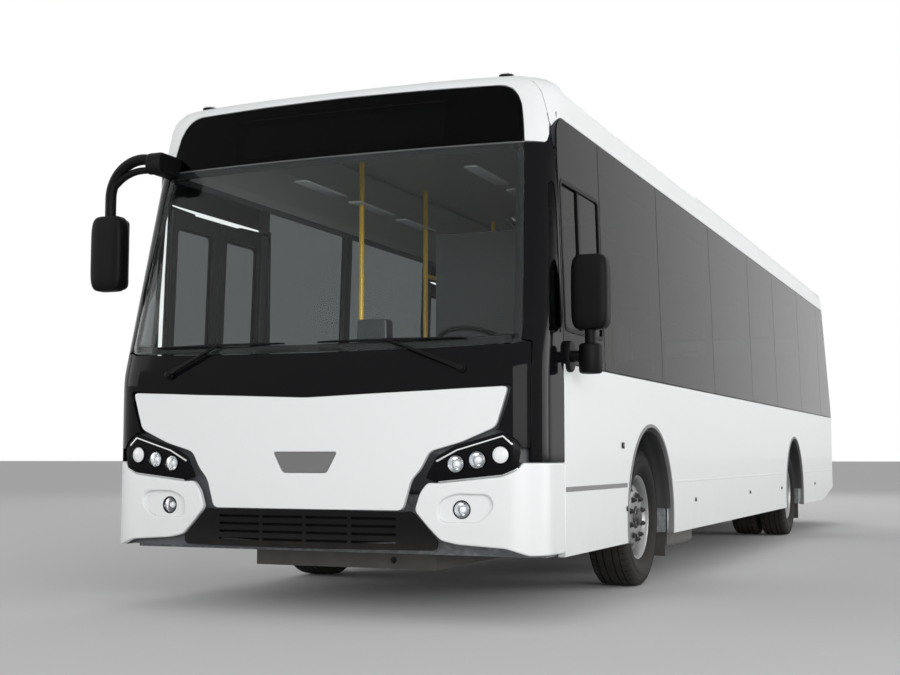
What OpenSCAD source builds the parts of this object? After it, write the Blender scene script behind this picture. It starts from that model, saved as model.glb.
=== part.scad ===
// Low-entry city bus, left-hand drive, two inward gliding double doors
// on the kerb side. The front faces -Y, the driver sits on the +X side.

/* [Body] */
// Width over the side walls
body_w = 2550; // [2450:10:2600]
// Length from the front panel to the rear panel
body_len = 11760; // [11400:20:12400]
// Height of the roof crown above the ground
roof_z = 2880; // [2840:10:2960]
// Thickness of the side walls and of the moulded end panels
wall_t = 50; // [46:1:56]
// Lower edge of the side skirts
skirt_z = 304; // [290:2:320]
// Height of the lower edge of the glass band
waist_z = 1306; // [1280:2:1330]
// Upper edge of the glass band
glass_top_z = 2630; // [2600:5:2650]
// Height where the side wall ends and the roof edge starts to curve
cantrail_z = 2740; // [2720:5:2745]
// How far the side leans inwards between waist and cantrail
side_lean = 44; // [36:1:48]
// Thickness of the bonded glass
glass_t = 8; // [6:1:10]

/* [Ends] */
// Radius of the front seen from above
front_plan_r = 11000; // [9000:500:14000]
// Corner radius of the front seen from above
front_corner_r = 200; // [180:5:210]
// Height where the windscreen starts to lean back
front_break_z = 1250; // [1230:5:1270]
// Lean of the windscreen from upright, in degrees
windscreen_rake = 13.8; // [12:0.2:15]
// Length of the moulded front end, measured along the side
front_end_len = 468; // [450:2:490]
// Radius of the rear seen from above
rear_plan_r = 14000; // [10000:500:20000]
// Corner radius of the rear seen from above
rear_corner_r = 190; // [150:10:220]
// Height where the rear starts to lean forward
rear_break_z = 1380; // [1340:5:1420]
// Lean of the rear wall from upright, in degrees
rear_rake = 17; // [12:1:20]
// Length of the moulded rear end, measured along the side
rear_end_len = 240; // [230:5:260]

/* [Wheels] */
// Distance from the front panel to the front axle
front_overhang = 2280; // [2240:10:2320]
// Distance between the axles
wheelbase = 6100; // [5900:20:6300]
// Outer diameter of a tyre
tyre_d = 867; // [840:1:880]
// Width of a tyre
tyre_w = 265; // [250:1:270]
// Diameter over the rim flanges
rim_d = 532; // [520:2:540]
// Distance from the body side to the outer face of a tyre
tyre_inset = 60; // [55:1:70]
// Distance between the two tyres of a twin wheel, centre to centre
twin_spacing = 296; // [290:2:310]
// Radius of the wheel arches
arch_r = 575; // [565:1:585]
// Distance from the front wheel's centre plane to its kingpin
kingpin_offset = 222; // [215:1:230]

/* [Doors] */
// Width of a doorway
doorway_w = 1090; // [1080:5:1095]
// Height of the head of a doorway
door_head_z = 2330; // [2300:5:2350]
// Gap from the jamb to a leaf
leaf_jamb_gap = 5; // [5:1:6]
// Gap between the two leaves of a door
leaf_meet_gap = 20; // [20:1:24]
// Thickness of a door leaf
leaf_t = 40; // [36:1:40]
// Start of the middle doorway behind the front axle
middle_door_from = 2120; // [2000:10:2300]

/* [Inside] */
// Height of the low floor
floor_z = 340; // [335:1:345]
// Thickness of the floor plate
floor_t = 30; // [25:1:30]
// Height of the rear floor
rear_floor_z = 900; // [880:5:920]
// Height of the driver's platform
platform_z = 620; // [580:10:660]
// Diameter of the grab poles
pole_d = 35; // [30:1:40]
// Distance from one row of seats to the next
seat_pitch = 740; // [720:5:745]

/* [Hidden] */
$fn = 48;

// Seam between fixed panels, and running clearance of shafts
seam = 0.5;
run_c = 0.08;

hw = body_w / 2;
front_y = -body_len / 2;
rear_y = body_len / 2;
front_seam_y = front_y + front_end_len;
rear_seam_y = rear_y - rear_end_len;
front_axle_y = front_y + front_overhang;
rear_axle_y = front_axle_y + wheelbase;
tyre_r = tyre_d / 2;
hub_z = tyre_r;
wheel_x = hw - tyre_inset - tyre_w / 2;
kingpin_x = wheel_x - kingpin_offset;
lean_rate = side_lean / (cantrail_z - waist_z);
roof_edge_r = roof_z - cantrail_z - 10;

// x of the outer skin of the side at height z
function skin(z) = hw - max(0, z - waist_z) * lean_rate;

function arc(cx, cy, r, a0, a1, n) =
  [for (i = [0:n]) [cx + r * cos(a0 + (a1 - a0) * i / n), cy + r * sin(a0 + (a1 - a0) * i / n)]];
function flip(pts) = [for (i = [len(pts) - 1:-1:0]) [-pts[i][0], pts[i][1]]];
function rounded(x0, y0, x1, y1, r, n = 5) = concat(
  arc(x1 - r, y0 + r, r, -90, 0, n), arc(x1 - r, y1 - r, r, 0, 90, n),
  arc(x0 + r, y1 - r, r, 90, 180, n), arc(x0 + r, y0 + r, r, 180, 270, n));

// Extrudes a shape drawn in x, z along y
module along_y(y0, y1) {
  translate([0, y1, 0]) rotate([90, 0, 0]) linear_extrude(y1 - y0) children();
}
// Extrudes a shape drawn in y, z along x
module along_x(x0, x1) {
  translate([x0, 0, 0]) rotate([90, 0, 90]) linear_extrude(x1 - x0) children();
}
module box(x0, x1, y0, y1, z0, z1) {
  translate([x0, y0, z0]) cube([x1 - x0, y1 - y0, z1 - z0]);
}
module both_sides() {
  children();
  mirror([1, 0, 0]) children();
}
// A round bar between two points
module bar(a, b, r) {
  v = b - a;
  len_v = norm(v);
  translate(a) rotate([0, acos(v[2] / len_v), atan2(v[1], v[0])]) cylinder(r = r, h = len_v);
}
// A bar that follows a list of points, with round elbows
module bent_bar(pts, r) {
  for (i = [0:len(pts) - 2]) bar(pts[i], pts[i + 1], r);
  for (p = pts) translate(p) sphere(r = r + 1, $fn = 24);
}

// Half of the body's cross-section at depth t under the skin, from z_low up
function half_section(t, z_low) = concat(
  [[hw - t, z_low], [hw - t, waist_z]],
  arc(skin(cantrail_z) - roof_edge_r, cantrail_z, roof_edge_r - t, 0, 84, 8),
  [[(skin(cantrail_z) - roof_edge_r) * 0.62, roof_z - t - 4], [0, roof_z - t]]);
module section2d(t, z_low) {
  h = half_section(t, z_low);
  polygon(concat(h, flip(h)));
}

// Plan of one end with its nose at the origin, at depth t
module end_plan(t, plan_r, corner_r, depth) {
  cx = hw - corner_r;
  cy = plan_r - sqrt(pow(plan_r - corner_r, 2) - cx * cx);
  a = asin(cx / (plan_r - corner_r));
  h = concat([[hw - t, depth]], arc(cx, cy, corner_r - t, 0, -(90 - a), 9),
    arc(0, plan_r, plan_r - t, -(90 - a * 0.72), -90, 5));
  polygon(concat(h, flip(h)));
}
// Solid filled by the upper part of the front at depth t
module front_lean(t) {
  translate([0, front_y, front_break_z]) rotate([-windscreen_rake, 0, 0])
    translate([0, 0, -200]) linear_extrude(2100)
      end_plan(t, front_plan_r, front_corner_r, 1200);
}
module front_upright(t) {
  translate([0, front_y, 0]) linear_extrude(front_break_z)
    end_plan(t, front_plan_r, front_corner_r, 1200);
}
// Side view that rounds the edge where the raked end meets the roof
module brow2d(t, break_z, rake, r) {
  zc = roof_z - r;
  yc = (zc - break_z) * tan(rake) + r / cos(rake);
  polygon(concat([[1800, 0], [-400, 0], [-400, break_z - 100], [(0 - 100) * tan(rake) - 1, break_z - 100]],
    arc(yc, zc, r - t, 180 - rake, 90, 5), [[1800, roof_z - t]]));
}
module front_upper(t) {
  intersection() {
    front_lean(t);
    along_y(front_y - 20, front_seam_y) section2d(t, front_break_z - 10);
    translate([0, front_y, 0]) along_x(-hw - 10, hw + 10)
      brow2d(t, front_break_z, windscreen_rake, 90);
    box(-hw - 10, hw + 10, front_y - 20, front_seam_y, front_break_z, roof_z + 10);
  }
}
// Moulded shell of the front, from the bumper to the roof
module front_shell(t0, t1) {
  intersection() {
    union() {
      difference() {
        front_upper(t0);
        intersection() {
          front_lean(t1);
          along_y(front_y - 30, front_seam_y + 10) section2d(t1, front_break_z - 20);
          translate([0, front_y, 0]) along_x(-hw - 20, hw + 20)
            brow2d(t1, front_break_z, windscreen_rake, 90);
        }
      }
      difference() {
        front_upright(t0);
        translate([0, 0, -10]) front_upright(t1);
        translate([0, 0, 10]) front_upright(t1);
      }
    }
    box(-hw - 10, hw + 10, front_y - 20, front_seam_y, 0, roof_z + 10);
  }
}

// Front outlines, right half, seen from the front
panel_half = [[0, 549], [600, 549], [674, 712], [728, 838], [1060, 946], [1100, 966],
  [1122, 1010], [1130, 1060], [1134, 1174], [575, 1143], [0, 1134]];
lamp_half = [[678, 708], [736, 816], [835, 871], [1060, 940], [1110, 936], [1158, 893],
  [1178, 849], [1170, 790], [1140, 748], [1083, 724], [746, 689]];
bumper_top = [[676, 702], [746, 684], [1083, 718], [1145, 738], [1177, 752], [1208, 790], [1420, 790]];
bumper_low = [[1420, 304], [hw - 4, 306], [1159, 366], [846, 383], [752, 401], [605, 546]];
screen_half = [[0, 1370], [575, 1375], [1130, 1390], [1158, 1402], [1166, 1440], [1098, 2440],
  [1088, 2462], [1066, 2470], [0, 2470]];
header_half = concat([[0, 2475], [1094, 2475], [1062, 2700]], arc(930, 2688, 120, 10, 88, 5), [[0, 2818]]);
module mirrored2d(pts) {
  polygon(concat(pts, flip(pts)));
}
module front_cut(pts, grow = 0) {
  along_y(front_y - 40, front_seam_y + 40) offset(delta = grow) mirrored2d(pts);
}

module front_panel() {
  color("white") difference() {
    intersection() {
      front_shell(0, wall_t);
      front_cut(panel_half, -seam);
    }
    // joint between the upper and the lower panel
    along_y(front_y - 10, front_y + wall_t - 12) translate([-760, 842]) square([1520, 4]);
    badge_recess();
  }
}
// Bare badge plate in its recess at the height of the panel joint
badge_half = [[0, 724], [132, 724], [205, 844], [0, 844]];
module badge_recess() {
  along_y(front_y - 10, front_y + 22) offset(delta = 8) mirrored2d(badge_half);
}

module windscreen() {
  color("lightsteelblue", 0.4) intersection() {
    front_shell(4, 4 + glass_t);
    front_cut(screen_half, -seam);
  }
}

module destination_glass() {
  color([0.06, 0.06, 0.07]) intersection() {
    front_shell(3, 3 + glass_t);
    front_cut(header_half, -seam);
  }
}

// Side view of the dark area on each cheek of the front, ahead of the seam
cheek_side = concat([[front_seam_y + 10, 780], [front_y - 50, 780], [front_y - 50, 2474],
  [front_y + 300, 2474], [front_y + 352, 2482]], arc(front_y + 452, 2530, 80, 160, 95, 5),
  [[front_seam_y + 10, glass_top_z]]);

module front_band() {
  color([0.03, 0.03, 0.035]) difference() {
    intersection() {
      front_shell(0, wall_t);
      along_y(front_y - 30, front_y + 420) translate([-1205 + seam, 690]) square([2410 - 2 * seam, 714]);
    }
    front_cut(panel_half, seam);
    front_cut(screen_half, seam);
    headlamp_pocket();
    bumper_region(seam);
  }
}
module bumper_region(grow) {
  both_sides() along_y(front_y - 60, front_seam_y + 40) offset(delta = grow)
    polygon(concat(bumper_top, bumper_low, [[655, 655]]));
}
module headlamp_pocket() {
  both_sides() along_y(front_y - 60, front_y + 300) offset(delta = seam) polygon(lamp_half);
}

module corner_posts() {
  color([0.05, 0.05, 0.055]) difference() {
    intersection() {
      front_shell(0, wall_t);
      along_x(-hw - 10, hw + 10) polygon(cheek_side);
      union() {
        both_sides() along_y(front_y - 30, front_seam_y + 5) polygon([[1400, 790 + seam], [1205, 790 + seam],
          [1205, 1404 + seam], [1150, 1404 + seam], [1080, 2474], [1400, 2640]]);
        along_y(front_y + 370, front_seam_y + 5) translate([-1400, 2400]) square([2800, 300]);
      }
    }
    front_cut(screen_half, seam);
    front_cut(header_half, seam);
    // quarter window between the post and the side
    both_sides() along_x(hw - 260, hw + 10)
      polygon(rounded(front_y + 215, 1400, front_seam_y - 22, 2290, 30));
  }
}

module front_cap() {
  color("white") difference() {
    intersection() {
      front_shell(0, wall_t);
      box(-hw - 10, hw + 10, front_y, front_seam_y - seam, 2475, roof_z + 10);
    }
    front_cut(header_half, seam);
    along_x(-hw - 20, hw + 20) offset(delta = seam) polygon(cheek_side);
  }
}

// Fog lamp place on the bumper corner
fog_x = 865;
fog_z = 556;
lamp_r = 45;
module bumper_corners() {
  color("white") difference() {
    intersection() {
      front_shell(0, wall_t);
      difference() {
        bumper_region(0);
        headlamp_pocket();
      }
      box(-hw - 10, hw + 10, front_y - 10, front_seam_y - seam, 0, 900);
    }
    front_cut(panel_half, seam);
    both_sides() translate([fog_x, front_y - 20, fog_z]) rotate([-90, 0, 0])
      cylinder(r = lamp_r + seam, h = 200);
  }
}

module lower_grille() {
  color([0.04, 0.04, 0.045]) intersection() {
    difference() {
      front_shell(12, wall_t);
      front_cut(panel_half, seam);
      bumper_region(seam);
      // stepped intake in the middle
      along_y(front_y - 10, front_y + 45) polygon([[-330, 420], [330, 420], [372, 520], [-372, 520]]);
      for (z = [446, 472, 498]) along_y(front_y, front_y + 120)
        translate([-300, z - 8]) square([600, 12]);
    }
    along_y(front_y - 30, front_y + 300) mirrored2d([[0, 361], [860, 361], [846, 383], [752, 401], [600, 548], [0, 548]]);
  }
}

// Round lamp units, as x and z of their centres
lamp_places = [[840, 784], [952, 804], [1072, 829]];
module headlamps() {
  color([0.2, 0.2, 0.22]) both_sides() {
    difference() {
      intersection() {
        front_shell(4, wall_t);
        along_y(front_y - 60, front_y + 300) polygon(lamp_half);
      }
      for (p = lamp_places) translate([p[0], front_y - 20, p[1]]) rotate([-90, 0, 0])
        cylinder(r = lamp_r + 2, h = 20 + front_sag(p[0]) + 30);
    }
    for (p = lamp_places) translate([p[0], front_y + front_sag(p[0]) + 8, p[1]]) rotate([-90, 0, 0])
      cylinder(r = lamp_r, h = 22 - seam / 5);
    translate([fog_x, front_y + front_sag(fog_x) + 10, fog_z]) rotate([-90, 0, 0])
      cylinder(r = lamp_r, h = wall_t - 22);
  }
}
// Setback of the front surface from the nose at distance x
function front_sag(x) = front_plan_r - sqrt(front_plan_r * front_plan_r - x * x)
  + pow(max(0, x - (hw - front_corner_r)) / front_corner_r, 2) * front_corner_r * 0.5;

// Side walls

left_lines = [front_seam_y + 770, front_axle_y + 341, front_axle_y + 2040, front_axle_y + 3711,
  front_axle_y + 5066, front_axle_y + 6702, front_axle_y + 8280, rear_seam_y];
front_door_y = front_axle_y - 650 - doorway_w;
middle_door_y = front_axle_y + middle_door_from;
right_lines_a = [front_door_y + doorway_w + 70, front_axle_y + 740, middle_door_y - 70];
right_lines_b = [middle_door_y + doorway_w + 70, front_axle_y + 5066, front_axle_y + 6702,
  front_axle_y + 8280, rear_seam_y];
window_low_z = waist_z + 62;
window_top_z = glass_top_z - 150;
pillar_half = 45;

// Band of a side wall between two depths, as a shape in x, z
module wall2d(t0, t1, z0, z1) {
  zm = max(z0, min(waist_z, z1));
  polygon([[skin(z0) - t0, z0], [skin(zm) - t0, zm], [skin(z1) - t0, z1],
    [skin(z1) - t1, z1], [skin(zm) - t1, zm], [skin(z0) - t1, z0]]);
}
module arch_cut(y) {
  along_x(hw - wall_t - 20, hw + 20) polygon(concat(
    [[y - arch_r * 0.93, skirt_z - 20], [y + arch_r * 0.93, skirt_z - 20]],
    arc(y, hub_z, arch_r, -13, 193, 30)));
}
// Side view of everything ahead of the rear seam, which leans with the rear wall
module ahead2d(margin) {
  polygon([[front_y - 50, 0], [rear_seam_y - margin, 0], [rear_seam_y - margin, rear_break_z],
    [rear_seam_y - margin - (roof_z + 50 - rear_break_z) * tan(rear_rake), roof_z + 50], [front_y - 50, roof_z + 50]]);
}
module ahead_of_rear(margin = 0) {
  intersection() {
    children();
    along_x(-hw - 60, hw + 60) ahead2d(margin);
  }
}
// Keeps what lies behind the raked front, whose corners reach past the seam near the roof
module behind_front() {
  intersection() {
    children();
    union() {
      front_lean(0);
      box(-hw - 60, hw + 60, front_seam_y + 450, rear_y + 60, 0, roof_z + 60);
      box(-hw - 60, hw + 60, front_seam_y - 1, rear_y + 60, 0, waist_z);
    }
  }
}
module windows(lines) {
  for (i = [0:len(lines) - 2]) along_x(hw - wall_t - 80, hw + 20) intersection() {
    polygon(rounded(lines[i] + pillar_half, window_low_z, lines[i + 1] - pillar_half, window_top_z, 40));
    ahead2d(pillar_half);
  }
}
module side_wall() {
  difference() {
    behind_front() ahead_of_rear() along_y(front_seam_y, rear_seam_y) wall2d(0, wall_t, skirt_z, cantrail_z);
    // seat of the glass band
    along_y(front_seam_y - 10, rear_seam_y + 10) wall2d(-20, glass_t + seam, waist_z, glass_top_z);
    arch_cut(front_axle_y);
    arch_cut(rear_axle_y);
    // skirt rising behind the rear wheel
    along_x(hw - wall_t - 20, hw + 20) polygon([[rear_axle_y + 2160, skirt_z - 20],
      [rear_seam_y + 20, skirt_z - 20], [rear_seam_y + 20, skirt_z + 125], [rear_axle_y + 2160, skirt_z + 8]]);
  }
}
driver_window = [front_seam_y + 22, 1476, front_seam_y + 740, 2295];
module left_side() {
  color("white") difference() {
    side_wall();
    windows(left_lines);
    along_x(hw - wall_t - 80, hw + 20)
      polygon(rounded(driver_window[0], driver_window[1], driver_window[2], driver_window[3], 35));
    // groove of the flap ahead of the front wheel
    along_y(front_seam_y - 5, front_axle_y - arch_r + 40) translate([hw - 10, 629]) square([20, 29]);
  }
}
module doorway_cut(y0) {
  along_x(hw - wall_t - 80, hw + 20) polygon([[y0, floor_z], [y0 + doorway_w, floor_z],
    [y0 + doorway_w, door_head_z], [y0, door_head_z]]);
  // channels for the door posts behind the jambs
  for (e = [[y0 - post_back - 22, y0 + 1], [y0 + doorway_w - 1, y0 + doorway_w + post_back + 22]])
    box(hw - wall_t - 80, hw - 52, e[0], e[1], floor_z, door_head_z);
  // joints at the ends of the sill and of the cover over the door
  for (y = [y0, y0 + doorway_w - seam], z = [[skirt_z - 1, floor_z + 1], [door_head_z - 1, cantrail_z + 1]])
    box(hw - wall_t - 80, hw + 20, y, y + seam, z[0], z[1]);
}
module right_side() {
  color("white") mirror([1, 0, 0]) difference() {
    side_wall();
    windows(right_lines_a);
    windows(right_lines_b);
    doorway_cut(front_door_y);
    doorway_cut(middle_door_y);
  }
}
module glass_band(y0, y1) {
  ahead_of_rear(3) along_y(y0 + 3, y1 - 3) wall2d(0, glass_t, waist_z + 2, glass_top_z - 2);
}
module left_glass() {
  color("slategray", 0.5) {
    for (i = [0:len(left_lines) - 2]) glass_band(left_lines[i], left_lines[i + 1]);
    // driver's window with its sliding pane
    difference() {
      glass_band(front_seam_y, left_lines[0]);
      along_x(hw - 60, hw + 20) polygon(rounded(driver_window[0] + 24, driver_window[1] + 24,
        driver_window[0] + 350, driver_window[3] - 24, 20));
    }
    along_x(skin(1900) - 24, skin(1900) - 19) polygon(rounded(driver_window[0] + 3, driver_window[1] + 3,
      driver_window[0] + 380, driver_window[3] - 3, 34));
  }
}
module right_glass() {
  color("slategray", 0.5) mirror([1, 0, 0]) {
    for (i = [0:len(right_lines_a) - 2]) glass_band(right_lines_a[i], right_lines_a[i + 1]);
    for (i = [0:len(right_lines_b) - 2]) glass_band(right_lines_b[i], right_lines_b[i + 1]);
    // dark strips over the doorways
    for (d = [[front_seam_y, right_lines_a[0]], [right_lines_a[2], right_lines_b[0]]])
      difference() {
        glass_band(d[0], d[1]);
        box(hw - 200, hw + 20, front_seam_y - 20, front_door_y + doorway_w, waist_z - 10, door_head_z + 3);
        box(hw - 200, hw + 20, middle_door_y, middle_door_y + doorway_w, waist_z - 10, door_head_z + 3);
      }
  }
}

// Roof

hatch_y = [front_axle_y + 1900, front_axle_y + 2650];
hatch_half_w = 420;
module roof() {
  color("white") difference() {
    behind_front() ahead_of_rear() along_y(front_seam_y, rear_seam_y) difference() {
      section2d(0, 1000);
      section2d(wall_t, 900);
      translate([-hw - 10, 0]) square([body_w + 20, cantrail_z]);
    }
    box(-hatch_half_w + 30, hatch_half_w - 30, hatch_y[0] + 30, hatch_y[1] - 30, roof_z - 200, roof_z + 50);
    // flat seat of the hatch
    box(-hatch_half_w - 20, hatch_half_w + 20, hatch_y[0] - 20, hatch_y[1] + 20, roof_z - 12, roof_z + 50);
  }
}
module roof_hatch() {
  color("gainsboro") difference() {
    along_x(-hatch_half_w, hatch_half_w) polygon([[hatch_y[0], roof_z - 11.5], [hatch_y[1], roof_z - 11.5],
      [hatch_y[1], roof_z + 18], [hatch_y[1] - 40, roof_z + 34], [hatch_y[0] + 40, roof_z + 34], [hatch_y[0], roof_z + 18]]);
    box(-hatch_half_w + 40, hatch_half_w - 40, hatch_y[0] + 40, hatch_y[1] - 40, roof_z - 20, roof_z + 18);
  }
}

ceiling_t = 12;
ceiling_z = roof_z - 100;
module ceiling() {
  color("whitesmoke") difference() {
    ahead_of_rear(60) along_y(front_seam_y + 60, rear_seam_y - 60) {
      h0 = [[skin(window_top_z + 20) - wall_t - seam, window_top_z + 20], [skin(cantrail_z) - wall_t - 40, window_top_z + 60],
        [900, roof_z - 170], [820, ceiling_z], [0, ceiling_z]];
      h1 = [[0, ceiling_z + ceiling_t], [820 + 4, ceiling_z + ceiling_t], [900 + 8, roof_z - 170 + ceiling_t],
        [skin(cantrail_z) - wall_t - 34, window_top_z + 60 + ceiling_t], [skin(window_top_z + 40) - wall_t - seam, window_top_z + 34]];
      polygon(concat(h0, h1));
      polygon(flip(concat(h0, h1)));
    }
    box(-hatch_half_w + 30, hatch_half_w - 30, hatch_y[0] + 30, hatch_y[1] - 30, roof_z - 400, roof_z + 50);
  }
}

// Rear end

hatch_low_z = 470;
hatch_top_z = 1190;
rear_hatch_w = 1500;
module rear_lean(t) {
  translate([0, rear_y, rear_break_z]) rotate([rear_rake, 0, 0]) translate([0, 0, -300])
    linear_extrude(2000) mirror([0, 1, 0]) end_plan(t, rear_plan_r, rear_corner_r, 1200);
}
module rear_upright(t) {
  translate([0, rear_y, 0]) linear_extrude(rear_break_z) mirror([0, 1, 0])
    end_plan(t, rear_plan_r, rear_corner_r, 1200);
}
module rear_fill(t, low) {
  intersection() {
    union() {
      intersection() {
        rear_lean(t);
        box(-hw, hw, 0, rear_y + 10, rear_break_z - 0.01, roof_z + 10);
      }
      rear_upright(t);
    }
    along_y(rear_seam_y - 700, rear_y + 20) section2d(t, low);
    translate([0, rear_y, 0]) mirror([0, 1, 0]) along_x(-hw - 10, hw + 10)
      brow2d(t, rear_break_z, rear_rake, 140);
  }
}
rear_glass_half = [[0, rear_break_z + 60], [960, rear_break_z + 60], [1000, rear_break_z + 100],
  [960, 2330], [920, 2370], [0, 2370]];
rear_lamp_places = [[1130, 720], [1130, 850], [1130, 980], [1130, 1110]];
module rear_panel() {
  color("white") difference() {
    rear_fill(0, skirt_z + 125);
    rear_fill(wall_t, 100);
    along_x(-hw - 20, hw + 20) ahead2d(0);
    along_y(rear_seam_y - 700, rear_y + 20) mirrored2d(rear_glass_half);
    // engine hatch opening
    along_y(rear_seam_y, rear_y + 20) polygon(rounded(-rear_hatch_w / 2 - 6, hatch_low_z - 6,
      rear_hatch_w / 2 + 6, hatch_top_z + 6, 30));
    for (sx = [-1, 1]) for (p = rear_lamp_places)
      translate([sx * p[0], rear_seam_y + 50, p[1]]) rotate([-90, 0, 0]) cylinder(r = 52, h = 300);
  }
}
module rear_glass() {
  color("slategray", 0.5) intersection() {
    difference() {
      rear_fill(2, 1000);
      rear_fill(2 + glass_t, 900);
    }
    along_y(rear_seam_y - 700, rear_y + 20) offset(delta = -seam) mirrored2d(rear_glass_half);
  }
}
slot_pitch = 60;
slot_h = 26;
module engine_hatch() {
  color("white") difference() {
    intersection() {
      difference() {
        rear_fill(0, 100);
        rear_fill(34, 50);
      }
      along_y(rear_seam_y, rear_y + 20) polygon(rounded(-rear_hatch_w / 2, hatch_low_z,
        rear_hatch_w / 2, hatch_top_z, 28));
    }
    // cooling slots under and over the way to the towing socket
    for (row = [1.5, 2.5, 3.5, 6.8, 7.8, 8.8, 9.8])
      translate([0, 0, hatch_low_z + row * slot_pitch]) along_y(rear_seam_y, rear_y + 20)
        polygon(rounded(-560, 0, 560, slot_h, 12, 3));
    along_y(rear_seam_y, rear_y + 20) translate([tow_x, rear_tow_z]) circle(r = tow_r + 14);
  }
}
module tail_lamps() {
  color("firebrick") for (sx = [-1, 1]) for (p = rear_lamp_places)
    translate([sx * p[0], rear_y - 105, p[1]]) rotate([-90, 0, 0]) cylinder(r = 51.5, h = 70);
}

// Marker lamps

side_marker_ys = [front_axle_y - arch_r - 29, front_axle_y + 0.21 * wheelbase, front_axle_y + 0.569 * wheelbase,
  front_axle_y + 0.8525 * wheelbase, rear_axle_y + 0.478 * (rear_seam_y - rear_axle_y)];
module marker_lamps() {
  color("orange") {
    both_sides() for (y = side_marker_ys) translate([hw, y, 510]) rotate([0, 90, 0]) cylinder(r = 14, h = 8);
    both_sides() translate([hw, front_axle_y - arch_r - 116, 886]) rotate([0, 90, 0]) cylinder(r = 18, h = 10);
    both_sides() difference() {
      along_x(900, 980) polygon([[front_y + 480, roof_z - 12], [front_y + 590, roof_z - 12],
        [front_y + 575, roof_z + 20], [front_y + 500, roof_z + 20]]);
      along_y(front_seam_y - 50, front_seam_y + 250) section2d(-seam / 2, 1000);
    }
  }
}

// Mirrors and wipers

mirror_out = 225;
mirror_reach = hw + mirror_out;
mirror_t = 120;
// Head of a mirror with rounded edges, centred at the origin
module mirror_head(w, h) {
  intersection() {
    translate([0, 0, -h / 2]) linear_extrude(h) polygon(rounded(-w / 2, -mirror_t / 2, w / 2, mirror_t / 2, mirror_t * 0.42, 4));
    along_x(-w, w) polygon(rounded(-mirror_t / 2, -h / 2, mirror_t / 2, h / 2, mirror_t * 0.45, 4));
    along_y(-mirror_t, mirror_t) polygon(rounded(-w / 2, -h / 2, w / 2, h / 2, mirror_t * 0.5, 4));
  }
}
kerb_mirror_w = 210;
kerb_mirror_h = 440;
kerb_mirror_z = 1990;
kerb_mirror_y = front_y + 190;
// Arm that arches out of the roof corner and down to the head, drawn from the middle of its arch
module arched_arm() {
  arch_r_out = 245;
  arm_w = 62;
  cx = mirror_reach - kerb_mirror_w / 2 + arm_w / 2 - arch_r_out;
  cz = kerb_mirror_z + kerb_mirror_h / 2 + 105;
  along_y(kerb_mirror_y - 28, kerb_mirror_y + 28) polygon(concat(
    [[cx + arch_r_out, cz - 140]], arc(cx, cz, arch_r_out, 0, 100, 9), [[cx - 130, cz + arch_r_out - 20],
    [cx - 130, cz + arch_r_out - 130]], arc(cx, cz, arch_r_out - arm_w, 100, 0, 8), [[cx + arch_r_out - arm_w, cz - 140]]));
}
module right_mirror() {
  color([0.05, 0.05, 0.05]) mirror([1, 0, 0]) {
    translate([mirror_reach - kerb_mirror_w / 2, kerb_mirror_y, kerb_mirror_z]) mirror_head(kerb_mirror_w, kerb_mirror_h);
    difference() {
      union() {
        arched_arm();
        // foot on the roof corner
        along_x(1040, 1180) polygon(rounded(kerb_mirror_y - 40, 2440, front_y + 520, 2560, 35));
      }
      front_lean(-0.3);
    }
  }
}
cab_mirror_w = 200;
cab_mirror_h = 400;
cab_mirror_y = front_y + 540;
cab_mirror_z = 1680;
module left_mirror() {
  color([0.05, 0.05, 0.05]) {
    translate([mirror_reach - cab_mirror_w / 2, cab_mirror_y, cab_mirror_z]) mirror_head(cab_mirror_w, cab_mirror_h);
    difference() {
      // short arm with an oval root on the side under the driver's window
      union() {
        along_y(cab_mirror_y - 30, cab_mirror_y + 30) polygon([[hw - 20, 1290], [hw + 60, 1290],
          [mirror_reach - 60, cab_mirror_z - cab_mirror_h / 2 - 20], [mirror_reach - 60, cab_mirror_z - 100],
          [mirror_reach - 140, cab_mirror_z - 100], [mirror_reach - 140, 1500], [hw + 30, 1400], [hw - 20, 1400]]);
        along_x(hw - 20, hw + 22) polygon(rounded(cab_mirror_y - 60, 1260, cab_mirror_y + 60, 1430, 58));
      }
      along_y(cab_mirror_y - 100, cab_mirror_y + 100) section2d(-0.3, 500);
    }
  }
}

// Wipers, as x of the pivot, x and z of the blade's middle
wiper_table = [[-860, -560, 1412], [870, 470, 1412]];
wiper_pivot_z = 1262;
blade_half = 420;
wiper_r = 20;
module wipers() {
  color([0.05, 0.05, 0.05]) for (w = wiper_table) difference() {
    along_y(front_y + 2, front_y + 120) {
      translate([w[0], wiper_pivot_z]) circle(r = wiper_r);
      // arm
      polygon([[w[0] - 11, wiper_pivot_z], [w[0] + 11, wiper_pivot_z], [w[1] + 8, w[2]], [w[1] - 8, w[2]]]);
      // blade
      translate([w[1] - blade_half, w[2] - 8]) square([2 * blade_half, 16]);
    }
    front_upright(-0.3);
    front_lean(-0.3);
    // thins the blade and the arm to a slim section ahead of the glass
    along_y(front_y - 100, front_y + 2) translate([-hw, 0]) square([body_w, roof_z]);
  }
}

// Cab

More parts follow.
